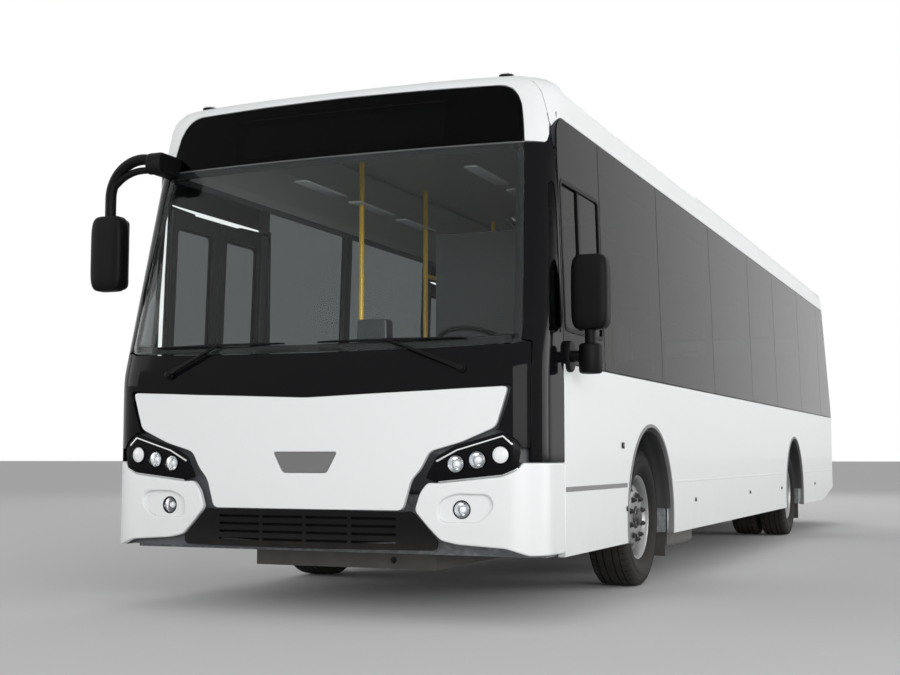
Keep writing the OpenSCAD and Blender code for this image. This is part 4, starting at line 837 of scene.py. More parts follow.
def round_edges(piece: bpy.types.Object, width: float, segments: int = 3,
                degrees: float = 30.0) -> bpy.types.Object:
    """Adds a bevel modifier that keeps flat faces flat."""
    bevel = piece.modifiers.new("edges", "BEVEL")
    bevel.width = width
    bevel.segments = segments
    bevel.limit_method = "ANGLE"
    bevel.angle_limit = math.radians(degrees)
    bevel.harden_normals = True
    return piece


def join(name: str, pieces: Sequence[bpy.types.Object]) -> bpy.types.Object:
    """Joins pieces into one mesh by their evaluated points."""
    bpy.context.view_layer.update()
    depsgraph = bpy.context.evaluated_depsgraph_get()
    points, faces, start = [], [], 0
    for piece in pieces:
        mesh = piece.evaluated_get(depsgraph).to_mesh()
        co = np.empty(len(mesh.vertices) * 3)
        mesh.vertices.foreach_get("co", co)
        points.append(co.reshape(-1, 3))
        faces += [[start + v for v in polygon.vertices] for polygon in mesh.polygons]
        start += len(mesh.vertices)
        piece.to_mesh_clear()
    for piece in pieces:
        bpy.data.objects.remove(piece)
    return sharpen(lay_mesh(name, np.concatenate(points), faces), 32)


def copies(piece: bpy.types.Object, places: Array, name: str) -> bpy.types.Object:
    """Repeats a small mesh at places in one joined mesh."""
    mesh = piece.data
    co = np.empty(len(mesh.vertices) * 3)
    mesh.vertices.foreach_get("co", co)
    co = co.reshape(-1, 3)
    places = np.asarray(places, float)
    points = (co[None] + places[:, None]).reshape(-1, 3)
    faces = [[v + k * len(co) for v in polygon.vertices]
             for k in range(len(places)) for polygon in mesh.polygons]
    bpy.data.objects.remove(piece)
    return sharpen(lay_mesh(name, points, faces), 32)


# Skins of the body


def arc_lengths(parts: Sequence[float]) -> Array:
    """Running sum of the lengths of a profile's parts, from 0."""
    return np.concatenate([[0.0], np.cumsum(parts)])


@dataclass
class EndSkin(Skin):
    """Front or rear surface: a bowed plan with round corners, over a profile that leans back.

    In plan it runs along s as a wide circle, a corner arc and a straight side. Up the
    profile it runs along v as a wall, a short blend, the lean, the brow and the roof.
    The width shrinks with height as the sides lean and the roof edge rounds over.
    """

    nose_y: float = FRONT_Y
    facing: float = -1.0
    plan_r: float = 11.0
    corner_r: float = 0.20
    break_z: float = 1.250
    lean: float = 13.8
    brow_r: float = 0.09
    blend_r: float = 0.40

    def __post_init__(self) -> None:
        """Finds where the plan's corner arc starts and where the profile's parts end."""
        self.outward = -self.facing
        corner_x = HALF_W - self.corner_r
        self.bow = math.asin(corner_x / (self.plan_r - self.corner_r))
        self.corner_in = self.plan_r - (self.plan_r - self.corner_r) * math.cos(self.bow)
        self.corner_x = corner_x
        self.plan_marks = arc_lengths([self.plan_r * self.bow, self.corner_r * (math.pi / 2 - self.bow)])
        tilt = math.radians(self.lean)
        tangent = self.blend_r * math.tan(tilt / 2)
        self.tilt = tilt
        # profile points: distance inwards and height at the start of each part
        self.wall_top = self.break_z - tangent
        self.lean_start = np.array([tangent * math.sin(tilt), self.break_z + tangent * math.cos(tilt)])
        rise = self.brow_r * (1 - math.sin(tilt))
        self.lean_len = (ROOF_Z - rise - self.lean_start[1]) / math.cos(tilt)
        self.lean_end = self.lean_start + self.lean_len * np.array([math.sin(tilt), math.cos(tilt)])
        self.brow_centre = self.lean_end + self.brow_r * np.array([math.cos(tilt), -math.sin(tilt)])
        self.profile_marks = arc_lengths([
            self.wall_top, self.blend_r * tilt, self.lean_len, self.brow_r * (math.pi / 2 - tilt)])

    def plan(self, s: Array) -> Tuple[Array, Array]:
        """Sideways distance and depth behind the nose at arc length s of the plan."""
        side, s = np.sign(s), np.abs(s)
        bow_end, corner_end = self.plan_marks[1], self.plan_marks[2]
        x, depth = self.plan_r * np.sin(s / self.plan_r), self.plan_r * (1 - np.cos(s / self.plan_r))
        turn = self.bow + (s - bow_end) / self.corner_r
        in_corner, in_side = (s > bow_end) & (s <= corner_end), s > corner_end
        x = np.where(in_corner, self.corner_x + self.corner_r * np.sin(turn), x)
        depth = np.where(in_corner, self.corner_in - self.corner_r * np.cos(turn), depth)
        x = np.where(in_side, HALF_W, x)
        depth = np.where(in_side, self.corner_in + s - corner_end, depth)
        return np.where(side < 0, -x, x), depth

    def profile(self, v: Array) -> Tuple[Array, Array]:
        """Depth behind the nose and height at arc length v of the profile."""
        m = self.profile_marks
        turn = np.clip((v - m[1]) / self.blend_r, 0, self.tilt)
        depth = self.blend_r * (1 - np.cos(turn))
        height = np.where(v <= m[1], v, self.wall_top + self.blend_r * np.sin(turn))
        run = np.clip(v - m[2], 0, self.lean_len)
        depth, height = depth + run * math.sin(self.tilt), height + run * math.cos(self.tilt)
        turn = np.clip((v - m[3]) / self.brow_r, 0, math.pi / 2 - self.tilt)
        depth += np.where(v > m[3], self.brow_r * (math.cos(self.tilt) - np.cos(self.tilt + turn)), 0)
        height += np.where(v > m[3], self.brow_r * (np.sin(self.tilt + turn) - math.sin(self.tilt)), 0)
        depth += np.maximum(0, v - m[4])
        return depth, height

    def surface(self, u: Array, v: Array) -> Array:
        """Point at arc length u of the plan and v of the profile."""
        x, plan_depth = self.plan(u)
        depth, height = self.profile(v)
        x = x * side_half_width(height) / HALF_W
        return np.stack([x, self.nose_y - self.facing * (plan_depth + depth), height], -1)

    def s_at(self, x: float, z: float) -> float:
        """Plan parameter of the point at sideways distance x and height z, on the front part."""
        x = x * HALF_W / float(side_half_width(np.array(z)))
        reach = min(abs(x), HALF_W - 1e-6)
        if reach <= self.plan_r * math.sin(self.bow):
            s = self.plan_r * math.asin(reach / self.plan_r)
        else:
            turn = math.asin(min(1.0, (reach - self.corner_x) / self.corner_r))
            s = self.plan_marks[1] + self.corner_r * (turn - self.bow)
        return math.copysign(s, x)

    def v_at(self, z: float) -> float:
        """Profile parameter of height z."""
        if z <= self.wall_top:
            return z
        if z <= self.lean_start[1]:
            return self.profile_marks[1] + self.blend_r * math.asin((z - self.wall_top) / self.blend_r)
        if z <= self.lean_end[1]:
            return self.profile_marks[2] + (z - self.lean_start[1]) / math.cos(self.tilt)
        sine = min(1.0, (z - self.brow_centre[1]) / self.brow_r)
        return self.profile_marks[3] + self.brow_r * (math.asin(sine) - self.tilt)

    def point(self, x: float, z: float) -> Pair:
        """Parameters of the point of the front at x and z."""
        return self.s_at(x, z), self.v_at(z)

    def side_point(self, y: float, z: float, side: float = 1.0) -> Pair:
        """Parameters of the point at y and z where the corner runs into the side."""
        v = self.v_at(z)
        depth = (y - self.nose_y) * -self.facing - float(self.profile(np.array(v))[0])
        return side * self.reach(depth), v

    def reach(self, depth: float) -> float:
        """Plan parameter at a depth behind the nose: on the side, in the corner or on the bow."""
        if depth >= self.corner_in:
            return self.plan_marks[2] + depth - self.corner_in
        if depth > self.corner_in - self.corner_r * math.cos(self.bow):
            turn = math.acos((self.corner_in - depth) / self.corner_r)
            return self.plan_marks[1] + self.corner_r * (turn - self.bow)
        return self.plan_r * math.acos(1 - max(depth, 0.0) / self.plan_r)


def side_half_width(z: Array) -> Array:
    """Half the body's width at height z: upright, leaning in above the waist, then the roof edge."""
    lean = np.clip((z - WAIST_Z) / (CANTRAIL_Z - WAIST_Z), 0, 1)
    width = HALF_W - SIDE_LEAN * lean
    over = np.clip(z - CANTRAIL_Z, 0, ROOF_EDGE_R)
    edge = HALF_W - SIDE_LEAN - ROOF_EDGE_R + np.sqrt(ROOF_EDGE_R ** 2 - over ** 2)
    return np.where(z > CANTRAIL_Z, edge, width)


@dataclass
class SideSkin(Skin):
    """Side wall and roof: u runs along +Y, v from the ground up the wall and over the roof."""

    def __post_init__(self) -> None:
        """Samples the body's section once, as arc length against width and height."""
        z = np.concatenate([np.linspace(0, WAIST_Z, 12), np.linspace(WAIST_Z, CANTRAIL_Z, 12)[1:]])
        x = side_half_width(z)
        turn = np.linspace(0, math.pi / 2, 13)[1:]
        top_x = HALF_W - SIDE_LEAN - ROOF_EDGE_R
        edge_x, edge_z = top_x + ROOF_EDGE_R * np.cos(turn), CANTRAIL_Z + ROOF_EDGE_R * np.sin(turn)
        roof_x = np.linspace(top_x, 0, 12)[1:]
        roof_z = edge_z[-1] + (ROOF_Z - edge_z[-1]) * (1 - (roof_x / top_x) ** 2)
        self.x = np.concatenate([x, edge_x, roof_x])
        self.z = np.concatenate([z, edge_z, roof_z])
        self.marks = arc_lengths(np.hypot(np.diff(self.x), np.diff(self.z)))
        self.middle = float(self.marks[-1])
        self.outward = 1.0

    def surface(self, u: Array, v: Array) -> Array:
        """Point at u along the body and arc length v of its section."""
        past = v > self.middle
        folded = np.where(past, 2 * self.middle - v, v)
        x = np.interp(folded, self.marks, self.x)
        return np.stack([np.where(past, -x, x), u, np.interp(folded, self.marks, self.z)], -1)

    def v_at(self, z: float) -> float:
        """Section parameter of height z on the wall or the roof edge."""
        return float(np.interp(z, self.z[:-1], self.marks[:-1]))

    def point(self, y: float, z: float) -> Pair:
        """Parameters of the wall's point at y and z."""
        return y, self.v_at(z)


FRONT = EndSkin()
REAR = EndSkin(nose_y=REAR_Y, facing=1.0, plan_r=14.0, corner_r=0.19, break_z=1.380, lean=17.0, brow_r=0.14)
SIDE = SideSkin()


def rear_seam_at(z: float) -> float:
    """Where the sides end at a height: upright, then raked as the rear is."""
    return REAR_SEAM_Y - max(0.0, z - REAR.break_z) * math.tan(REAR.tilt)


def mirrored(half: Sequence[Pair]) -> List[Pair]:
    """Whole outline from its half at x above 0, whose ends lie on the middle line."""
    inner = [p for p in half if p[0] > 0]
    return [half[0]] + inner + [half[-1]] + [(-x, z) for x, z in inner[::-1]]


def on_front(points: Sequence[Pair]) -> Array:
    """Parameters on the front for points given as x and z."""
    return np.array([FRONT.point(x, z) for x, z in points])


def front_side(points: Sequence[Pair], side: float = 1.0) -> Array:
    """Parameters on the front's corner for points given as y and z."""
    return np.array([FRONT.side_point(y, z, side) for y, z in points])


def on_side(points: Sequence[Pair]) -> Array:
    """Parameters on the side for points given as y and z."""
    return np.array([SIDE.point(y, z) for y, z in points])


def both(make: Callable[[str, float], List[bpy.types.Object]]) -> None:
    """Runs a builder for the driver's side and the kerb side."""
    for label, side in (("left", 1.0), ("right", -1.0)):
        make(label, side)


# Body


@dataclass
class FrontEnd:
    """Front panels, bumper, lamps, windscreen and destination window."""

    lamp_top: Tuple[Pair, ...] = ((0.678, 0.713), (0.736, 0.819), (0.835, 0.874), (1.084, 0.943),
                                  (1.148, 0.893),
                                  (1.173, 0.849), (1.157, 0.760), (1.083, 0.726), (0.746, 0.689))
    panel_half: Tuple[Pair, ...] = ((0.0, 1.128), (1.112, 1.172), (1.090, 1.101), (1.048, 0.968),
                                    (0.870, 0.893),
                                    (0.700, 0.846), (0.655, 0.760), (0.600, 0.700), (0.556, 0.547),
                                    (0.0, 0.547))
    badge: Tuple[Pair, ...] = ((-0.190, 0.844), (0.190, 0.844), (0.130, 0.735), (-0.130, 0.735))
    lamp_centres: Tuple[Pair, ...] = ((0.840, 0.784), (0.952, 0.804), (1.072, 0.829))
    fog: Pair = (0.865, 0.556)
    screen: Tuple[Pair, ...] = ((0.0, 1.370), (0.575, 1.375), (1.130, 1.390), (1.156, 1.402), (1.164, 1.440),
                                (1.135, 1.900), (1.098, 2.440), (1.088, 2.460), (1.066, 2.468), (0.0, 2.468))
    header: Tuple[Pair, ...] = ((0.0, 2.477), (1.092, 2.477), (1.078, 2.600), (1.062, 2.690), (1.040, 2.740),
                                (1.005, 2.780), (0.965, 2.800), (0.930, 2.806), (0.500, 2.814), (0.0, 2.818))

    def build(self) -> None:
        """Builds every piece of the front."""
        self.white_panel()
        self.badge_plate()
        self.black_band()
        self.windscreen()
        self.destination()
        self.cap()
        self.cap_rear()
        both(self.bumper)
        self.grille()
        both(self.headlamp)
        both(self.fog_lamp)

    def white_panel(self) -> None:
        """White panel between the lamps, with its badge recess."""
        outline = rounded_corners(on_front(mirrored(self.panel_half)), 0.03)
        hole = rounded_corners(on_front(self.badge), 0.018)
        made = panel("front_white_panel", FRONT, outline, [hole], (0.0, 0.030), 0.006, 0.05)
        dress(made, Finishes.WHITE, "chassis", ["front_panel"])

    def badge_plate(self) -> None:
        """Bare plate sunk in the badge recess."""
        low = np.array(self.badge)
        middle = low.mean(0)
        plate = rounded_corners(on_front(middle + (low - middle) * 0.985), 0.016)
        dress(panel("badge_plate", FRONT, plate, [], (0.007, 0.012), 0.002, 0.04), Finishes.PLATE)

    def black_band(self) -> None:
        """Gloss black band that runs under the windscreen from corner to corner."""
        top = [FRONT.point(x, z) for x, z in ((1.166, 1.398), (1.130, 1.3855), (0.575, 1.3705),
                                              (0.0, 1.3655))]
        low = [FRONT.point(x, z) for x, z in ((0.0, 1.134), (0.700, 1.152), (1.118, 1.180), (1.128, 1.165),
                                              (1.105, 1.080), (1.060, 0.960), (1.045, 0.952), (1.085, 0.949),
                                              (1.156, 0.898), (1.178, 0.862))]
        half = low[1:] + [(1.2295, FRONT.v_at(0.862)), (1.2295, FRONT.v_at(1.360)),
                          (1.2200, FRONT.v_at(1.398))] + top[:-1]
        outline = [low[0]] + half + [top[-1]] + [(-s, v) for s, v in half[::-1]]
        made = panel("front_black_band", FRONT, np.array(outline), [], (0.0015, 0.030), 0.003, 0.05)
        dress(made, Finishes.BLACK, "chassis", ["front_band"])

    def windscreen(self) -> None:
        """Laminated windscreen with a printed border behind it."""
        outline = rounded_corners(on_front(mirrored(self.screen)), 0.035)
        dress(panel("windscreen_glass", FRONT, outline, [], END_PANE, 0.002, 0.07), Finishes.CLEAR,
              "chassis", ["windscreen"])
        clear = wound(outline, True) + mitres(wound(outline, True)) * 0.042
        made = panel("windscreen_print", FRONT, outline, [clear], END_PRINT_LAYER, 0.0, 0.07)
        dress(made, Finishes.PRINT)

    def destination(self) -> None:
        """Glass in front of the destination display and the dark board behind it."""
        outline = rounded_corners(on_front(mirrored(self.header)), 0.03)
        dress(panel("destination_pane", FRONT, outline, [], END_PANE, 0.002, 0.07), Finishes.TINTED,
              "chassis", ["destination_glass"])
        display = rounded_box(-0.668, FRONT.v_at(2.511), 0.668, FRONT.v_at(2.750), 0.01)
        made = panel("destination_print", FRONT, outline, [display], END_PRINT_LAYER, 0.0, 0.07)
        dress(made, Finishes.PRINT)
        box = panel("destination_board", FRONT, rounded_box(-0.72, FRONT.v_at(2.49), 0.72, FRONT.v_at(2.765),
                                                            0.01),
                    [], (0.050, 0.070), 0.0, 0.2)
        dress(box, Finishes.SCREEN)

    def cap(self) -> None:
        """White cap over the header glass, round the brow and down the corner posts."""
        low_edge = [FRONT.point(1.098, 2.4765), (1.185, FRONT.v_at(2.476)), FRONT.side_point(-5.456, 2.475),
                    FRONT.side_point(-5.444, 2.486), FRONT.side_point(-5.426, 2.520)]
        half = low_edge + self.along_seam(FRONT_SEAM_Y - 0.001, 2.552)
        inner = [FRONT.point(x, z) for x, z in self.header if x > 0][1:]
        rim = self.beside([FRONT.point(1.092, 2.477)] + inner + [FRONT.point(0.0, 2.818)], 0.005)
        loop = half + [(-s, v) for s, v in half[::-1][1:]]
        loop += [(-s, v) for s, v in rim] + rim[::-1][1:-1]
        made = panel("front_roof_cap", FRONT, np.array(loop), [], (0.0, 0.025), 0.004, 0.045)
        dress(made, Finishes.WHITE, "chassis", ["front_cap"])
        strip = [(-1.14, FRONT.v_at(2.4685)), (1.14, FRONT.v_at(2.4685)), (1.14, FRONT.v_at(2.4760)),
                 (-1.14, FRONT.v_at(2.4760))]
        dress(panel("header_strip", FRONT, np.array(strip), [], (0.0005, 0.012), 0.0015, 0.1), Finishes.STRIP)

    def beside(self, line: Sequence[Pair], gap: float) -> List[Pair]:
        """The line moved outwards from the middle of the header glass by a gap."""
        centre = np.array([0.0, FRONT.v_at(2.60)])
        points = np.array(line)
        away = points - centre
        step = np.stack([np.where(np.abs(points[:, 0]) > 0.9, gap, 0.0),
                         np.where(points[:, 1] > FRONT.v_at(2.76), gap, 0.0)], 1)
        return [tuple(p) for p in points + np.sign(away) * step]

    def along_seam(self, y: float, low_z: float) -> List[Pair]:
        """The front's line at a constant y, from a height on the side over the brow to the middle line."""
        s = np.linspace(FRONT.plan_marks[2], 0, 70)
        need = y - FRONT_Y - FRONT.plan(s)[1]
        table = np.linspace(FRONT.profile_marks[1], FRONT.profile_marks[4] + 0.9, 6000)
        v = np.interp(need, FRONT.profile(table)[0], table)
        low_v, first_z = FRONT.v_at(low_z), float(FRONT.profile(v[:1])[1][0])
        straight = np.linspace(low_z, first_z - 0.004, 9) if first_z > low_z + 0.01 else []
        side = [FRONT.side_point(y, float(z)) for z in straight]
        return side + [(float(a), float(b)) for a, b in zip(s, v) if b > low_v]

    def cap_rear(self) -> None:
        """Rear part of the cap, from the seam back to the roof, with the round corner over the side glass."""
        outer = self.along_seam(CAP_END_Y - 0.001, 2.6335)
        inner = self.along_seam(FRONT_SEAM_Y + 0.001, 2.556)
        curve = [FRONT.side_point(y, z) for y, z in ((-5.401, 2.574), (-5.385, 2.592), (-5.364, 2.610),
                                                     (-5.340, 2.624), (-5.315, 2.632))]
        half = inner[::-1] + curve + outer
        loop = half + [(-s, v) for s, v in half[::-1] if s > 0]
        made = panel("front_cap_rear", FRONT, np.array(loop), [], (0.0, 0.020), 0.003, 0.06)
        dress(made, Finishes.WHITE)

    def bumper(self, label: str, side: float) -> None:
        """Corner of the bumper under the headlamp, with the pocket of the fog lamp."""
        seam_s = FRONT.side_point(FRONT_SEAM_Y - 0.001, 0.6)[0]
        lamp = [(0.746, 0.687), (1.083, 0.723), (1.159, 0.757), (1.178, 0.790)]
        top = [FRONT.point(x, z) for x, z in lamp]
        loop = top + [(FRONT.point(1.208, 0.79)[0], 0.790), (seam_s, 0.790), (seam_s, 0.325)]
        loop += [(FRONT.point(1.205, 0.34)[0], 0.331), FRONT.point(1.100, 0.366), FRONT.point(0.846, 0.383),
                 FRONT.point(0.760, 0.401), FRONT.point(0.690, 0.470), FRONT.point(0.621, 0.548),
                 FRONT.point(0.650, 0.640), FRONT.point(0.690, 0.690)]
        loop = rounded_corners(loop, 0.022)
        fog_s = FRONT.point(*self.fog)
        pocket = rounded_corners([(fog_s[0] + a, fog_s[1] + b) for a, b in
                                  ((-0.115, -0.062), (0.100, -0.062), (0.175, 0.012), (0.150, 0.075),
                                   (-0.030, 0.078), (-0.115, 0.040))], 0.035)
        made = panel(f"bumper_{label}", FRONT, loop, [pocket], (0.0, 0.028), 0.010, 0.035, mirror=side < 0)
        dress(made, Finishes.WHITE, "chassis", ["bumper_corners"] if side > 0 else ())
        scoop = panel(f"fog_scoop_{label}", FRONT, wound(pocket, True), [circle(fog_s[0], fog_s[1], 0.047)],
                      (0.026, 0.034), 0.0, 0.03, mirror=side < 0)
        dress(scoop, Finishes.WHITE)

    def grille(self) -> None:
        """Black grille under the panel with its narrow slots."""
        half = [(0.0, 0.5395), (0.560, 0.5395), (0.602, 0.548), (0.676, 0.470), (0.750, 0.393),
                (0.735, 0.350), (0.0, 0.345)]
        outline = rounded_corners(on_front(mirrored(half)), 0.02)
        slots = []
        for z in (0.385, 0.425, 0.465, 0.505):
            for s0, s1 in ((-0.52, -0.27), (-0.25, -0.01), (0.01, 0.25), (0.27, 0.52)):
                slots.append(rounded_box(s0, z - 0.006, s1, z + 0.006, 0.005, 3))
        made = panel("grille_panel", FRONT, outline, slots, (0.004, 0.022), 0.003, 0.06)
        dress(made, Finishes.PLASTIC, "chassis", ["lower_grille"])
        back = panel("grille_backing", FRONT, on_front(mirrored([(0.0, 0.53), (0.58, 0.53), (0.70, 0.40),
                     (0.0, 0.36)])), [], (0.045, 0.050), 0.0, 0.1)
        dress(back, Finishes.SEAL)

    def headlamp(self, label: str, side: float) -> None:
        """Black lens with three round lamps, a bright line along its top and a strip below."""
        outline = rounded_corners(on_front(self.lamp_top), 0.014)
        holes = [circle(*FRONT.point(x, z), 0.047) for x, z in self.lamp_centres]
        made = panel(f"headlamp_lens_{label}", FRONT, outline, holes, (0.003, 0.012), 0.004, 0.03,
                     mirror=side < 0)
        dress(made, Finishes.BLACK, "chassis", ["headlamps"] if side > 0 else ())
        line = [(0.735, 0.800), (0.845, 0.856), (1.086, 0.926), (1.136, 0.882), (1.130, 0.876),
                (1.083, 0.918), (0.848, 0.849), (0.742, 0.792)]
        made = panel(f"headlamp_line_{label}", FRONT, rounded_corners(on_front(line), 0.004), [],
                     (0.0012, 0.0052), 0.001, 0.03, mirror=side < 0)
        dress(made, Finishes.CHROME)
        strip = [(0.752, 0.6885), (1.083, 0.7235), (1.160, 0.7575), (1.158, 0.7640), (1.082, 0.7310),
                 (0.750, 0.6960)]
        made = panel(f"headlamp_strip_{label}", FRONT, rounded_corners(on_front(strip), 0.003), [],
                     (-0.002, 0.006), 0.0015, 0.03, mirror=side < 0)
        dress(made, Finishes.CHROME)
        for count, (x, z) in enumerate(self.lamp_centres):
            self.round_lamp(f"{label}_{count}", x, z, 0.047, side, frosted=count == 2)

    def round_lamp(self, name: str, x: float, z: float, r: float, side: float, frosted: bool,
                   depth: float = 0.0) -> None:
        """One round lamp: silver bowl, black ring and clear or frosted front."""
        s, v = FRONT.point(x, z)
        base, normal = FRONT.shell(np.array([[s, v]]), np.array([depth]))
        profile = [(0.001, -0.046), (r * 0.55, -0.040), (r * 0.86, -0.018), (r * 0.90, 0.0),
                   (r * 0.97, 0.001), (r * 0.97, -0.030), (r * 0.60, -0.052), (0.001, -0.055)]
        bowl = self.aim(revolve(f"lamp_bowl_{name}", profile, (0, 0, 0), 48), base[0], normal[0], side)
        dress(bowl, Finishes.CHROME)
        ring = [(r * 0.88, -0.012), (r * 0.90, 0.002), (r * 0.95, 0.004), (r * 1.0, 0.002), (r * 1.0, -0.012)]
        dress(self.aim(revolve(f"lamp_ring_{name}", ring, (0, 0, 0), 48), base[0], normal[0], side),
              Finishes.BLACK)
        dome = [(0.001, 0.004), (r * 0.45, 0.0025), (r * 0.875, -0.004), (r * 0.875, -0.007),
                (r * 0.45, -0.001), (0.001, 0.0005)]
        made = self.aim(revolve(f"lamp_front_{name}", dome, (0, 0, 0), 48), base[0], normal[0], side)
        dress(made, Finishes.BULB if frosted else Finishes.LENS)
        if not frosted:
            ball = [(0.001, -0.010), (0.012, -0.013), (0.018, -0.022), (0.018, -0.036), (0.001, -0.044)]
            dress(self.aim(revolve(f"lamp_eye_{name}", ball, (0, 0, 0), 32), base[0], normal[0], side),
                  Finishes.BULB)

    def aim(self, piece: bpy.types.Object, place: Array, normal: Array, side: float) -> bpy.types.Object:
        """Turns a piece made round +X to a normal, at a place, on the wanted side."""
        piece = aimed(piece, place, normal)
        return flipped(piece) if side < 0 else piece

    def fog_lamp(self, label: str, side: float) -> None:
        """Round fog lamp in its scoop."""
        self.round_lamp(f"fog_{label}", self.fog[0], self.fog[1], 0.046, side, frosted=False, depth=0.026)


@dataclass
class Sides:
    """Side walls, corner posts, side glass and trims."""

    rub_z: float = 0.650
    driver_window: Tuple[float, float, float, float] = (-5.416, 1.476, -4.641, 2.295)
    left_panes: Tuple[float, ...] = (-4.641, -3.259, -1.560, 0.111, 1.466, 3.102, 4.680)

    def build(self) -> None:
        """Builds both sides."""
        both(self.wall)
        both(self.corner_post)
        both(self.glass)
        both(self.trims)

    def arch(self, y: float, step: int = 28) -> List[Pair]:
        """Wheel arch from its front foot over the top to its rear foot, as y and z."""
        turn = np.linspace(math.pi + 0.23, -0.23, step)
        return [(y + ARCH_R * math.cos(t), HUB_Z + ARCH_R * math.sin(t)) for t in turn
                if HUB_Z + ARCH_R * math.sin(t) > SKIRT_Z + 0.002]

    def wall(self, label: str, side: float) -> None:
        """White wall under the glass, cut at the arches and, on the kerb side, at the doorways."""
        front_y, rear_y = FRONT_SEAM_Y + 0.002, REAR_SEAM_Y - 0.002
        ends = [front_y, rear_y]
        if side < 0:
            for door in ("front", "middle"):
                y0 = float(lows(f"{door}_door_leaf_a")[1]) - 0.005
                ends[-1:-1] = [y0, y0 + 1.090]
                sill = rounded_box(y0 + 0.001, SKIRT_Z + 0.0005, y0 + 1.089, FLOOR_Z - 0.001, 0.004)
                dress(panel(f"door_sill_{door}", SIDE, sill, [], (0.0, 0.045), 0.003, 0.2, mirror=True),
                      Finishes.WHITE)
        for count, (y0, y1) in enumerate(zip(ends[::2], ends[1::2])):
            made = panel(f"side_wall_{label}_{count}", SIDE, self.run(y0, y1, y1 == rear_y), [], (0.0, 0.040),
                         0.004, 0.09, mirror=side < 0)
            dress(made, Finishes.WHITE, "chassis", [f"{label}_side"] if count == 0 else ())
            back = panel(f"wall_backing_{label}_{count}", SIDE,
                         self.run(y0 + 0.002, y1 - 0.002, y1 == rear_y, 1.05), [],
                         (0.0405, 0.0445), 0.0, 0.2, mirror=side < 0)
            dress(back, Finishes.WELL)

    def run(self, y0: float, y1: float, tail: bool, top: float = WAIST_Z - 0.003) -> Array:
        """Outline of the lower wall between two ends up to a height, with the arches that lie in it."""
        low = [(y0, SKIRT_Z)]
        for y in (FRONT_AXLE_Y, REAR_AXLE_Y):
            if y0 < y < y1:
                cut = self.arch(y)
                low += [(cut[0][0], SKIRT_Z)] + cut + [(cut[-1][0], SKIRT_Z)]
        low += [(y1 - 0.9, SKIRT_Z), (y1, SKIRT_Z + 0.125)] if tail else [(y1, SKIRT_Z)]
        return on_side(low + [(y1, top), (y0, top)])

    def corner_post(self, label: str, side: float) -> None:
        """Black corner post with the quarter window in it."""
        seam_z = (0.792, 1.000, 1.200, 1.350, 1.500, 1.700, 1.900, 2.100, 2.300, 2.500, 2.600, 2.644)
        seam = [FRONT.side_point(FRONT_SEAM_Y - 0.001, z) for z in seam_z]
        top = [(1.268, FRONT.v_at(2.612)), (1.268, FRONT.v_at(2.485)), (1.258, FRONT.v_at(2.470))]
        front = [FRONT.point(1.094, 2.470), FRONT.point(1.104, 2.440), FRONT.point(1.141, 1.900),
                 FRONT.point(1.170, 1.440), FRONT.point(1.166, 1.412), (1.2325, FRONT.v_at(1.400)),
                 (1.2325, FRONT.v_at(0.792))]
        loop = rounded_corners(seam + top + front, 0.006)
        pane = front_side([(FRONT_Y + 0.235, 1.46), (FRONT_SEAM_Y - 0.030, 1.46),
                           (FRONT_SEAM_Y - 0.030, 2.26), (FRONT_Y + 0.395, 2.26), (FRONT_Y + 0.330, 1.90)])
        pane = rounded_corners(pane, 0.03)
        made = panel(f"corner_post_{label}", FRONT, loop, [pane], (0.001, 0.030), 0.002, 0.045,
                     mirror=side < 0)
        dress(made, Finishes.BLACK, "chassis", ["corner_posts"] if side > 0 else ())
        dress(panel(f"quarter_pane_{label}", FRONT, wound(pane, True) - mitres(wound(pane, True)) * 0.004, [],
                    (0.004, 0.009), 0.001, 0.08, mirror=side < 0), Finishes.TINTED)

    def glass(self, label: str, side: float) -> None:
        """Tinted panes over the upper wall, with printed borders and seams between them."""
        low, top = GLASS_LOW_Z + HALF_GAP, GLASS_TOP_Z - HALF_GAP
        rear_low, rear_top = REAR_SEAM_Y - 0.012, rear_seam_at(top) - 0.012
        kerb = side < 0
        ends = [FRONT_SEAM_Y, *(RIGHT_SEAMS if kerb else self.left_panes)]
        for count, y0 in enumerate(ends):
            last = count == len(ends) - 1
            y0, y1 = y0 + HALF_GAP, (rear_low if last else ends[count + 1]) - HALF_GAP
            loop = [(y0, low), (y1, low), (y1, top), (y0, top)]
            if last:
                loop = [(y0, low), (rear_low, low), (rear_low, REAR.break_z), (rear_top, top),
                        (y0, top)]
            door = kerb and count in (0, 3)
            if door:
                loop[0], loop[1] = (y0, DOOR_HEAD_Z), (y1, DOOR_HEAD_Z)
            rounded = on_side(loop)
            if not count:
                turned = [(-5.322, top), (-5.342, 2.617), (-5.366, 2.603), (-5.388, 2.583), (-5.402, 2.560),
                          (y0, 2.535)]
                rounded = on_side(loop[:3] + turned)
            outline = densify(rounded_corners(rounded, 0.012), 0.2)
            holes = []
            if not kerb and count == 0:
                a, b, c, d = self.driver_window
                holes = [rounded_corners(on_side([(a + 0.03, b), (c - 0.02, b), (c - 0.02, d),
                                                  (a + 0.03, d)]), 0.05)]
            made = panel(f"side_pane_{label}_{count}", SIDE, outline, holes, PANE, 0.0018, 0.25,
                         mirror=kerb)
            dress(made, Finishes.TINTED, "chassis", [f"{label}_glass"] if count == 1 else ())
            edge = wound(outline, True)
            if door:
                dress(panel(f"door_header_print_{count}", SIDE, edge, [], HEADER_PRINT_LAYER, 0.0, 0.3,
                            mirror=True),
                      Finishes.PRINT)
                continue
            inner = self.clear_area(loop, last)
            if holes:
                holes = [wound(holes[0], False)]
                dress(panel(f"side_print_{label}_{count}", SIDE, edge, holes, PRINT_LAYER, 0.0, 0.2),
                      Finishes.PRINT)
                self.sliding_window(holes[0])
                continue
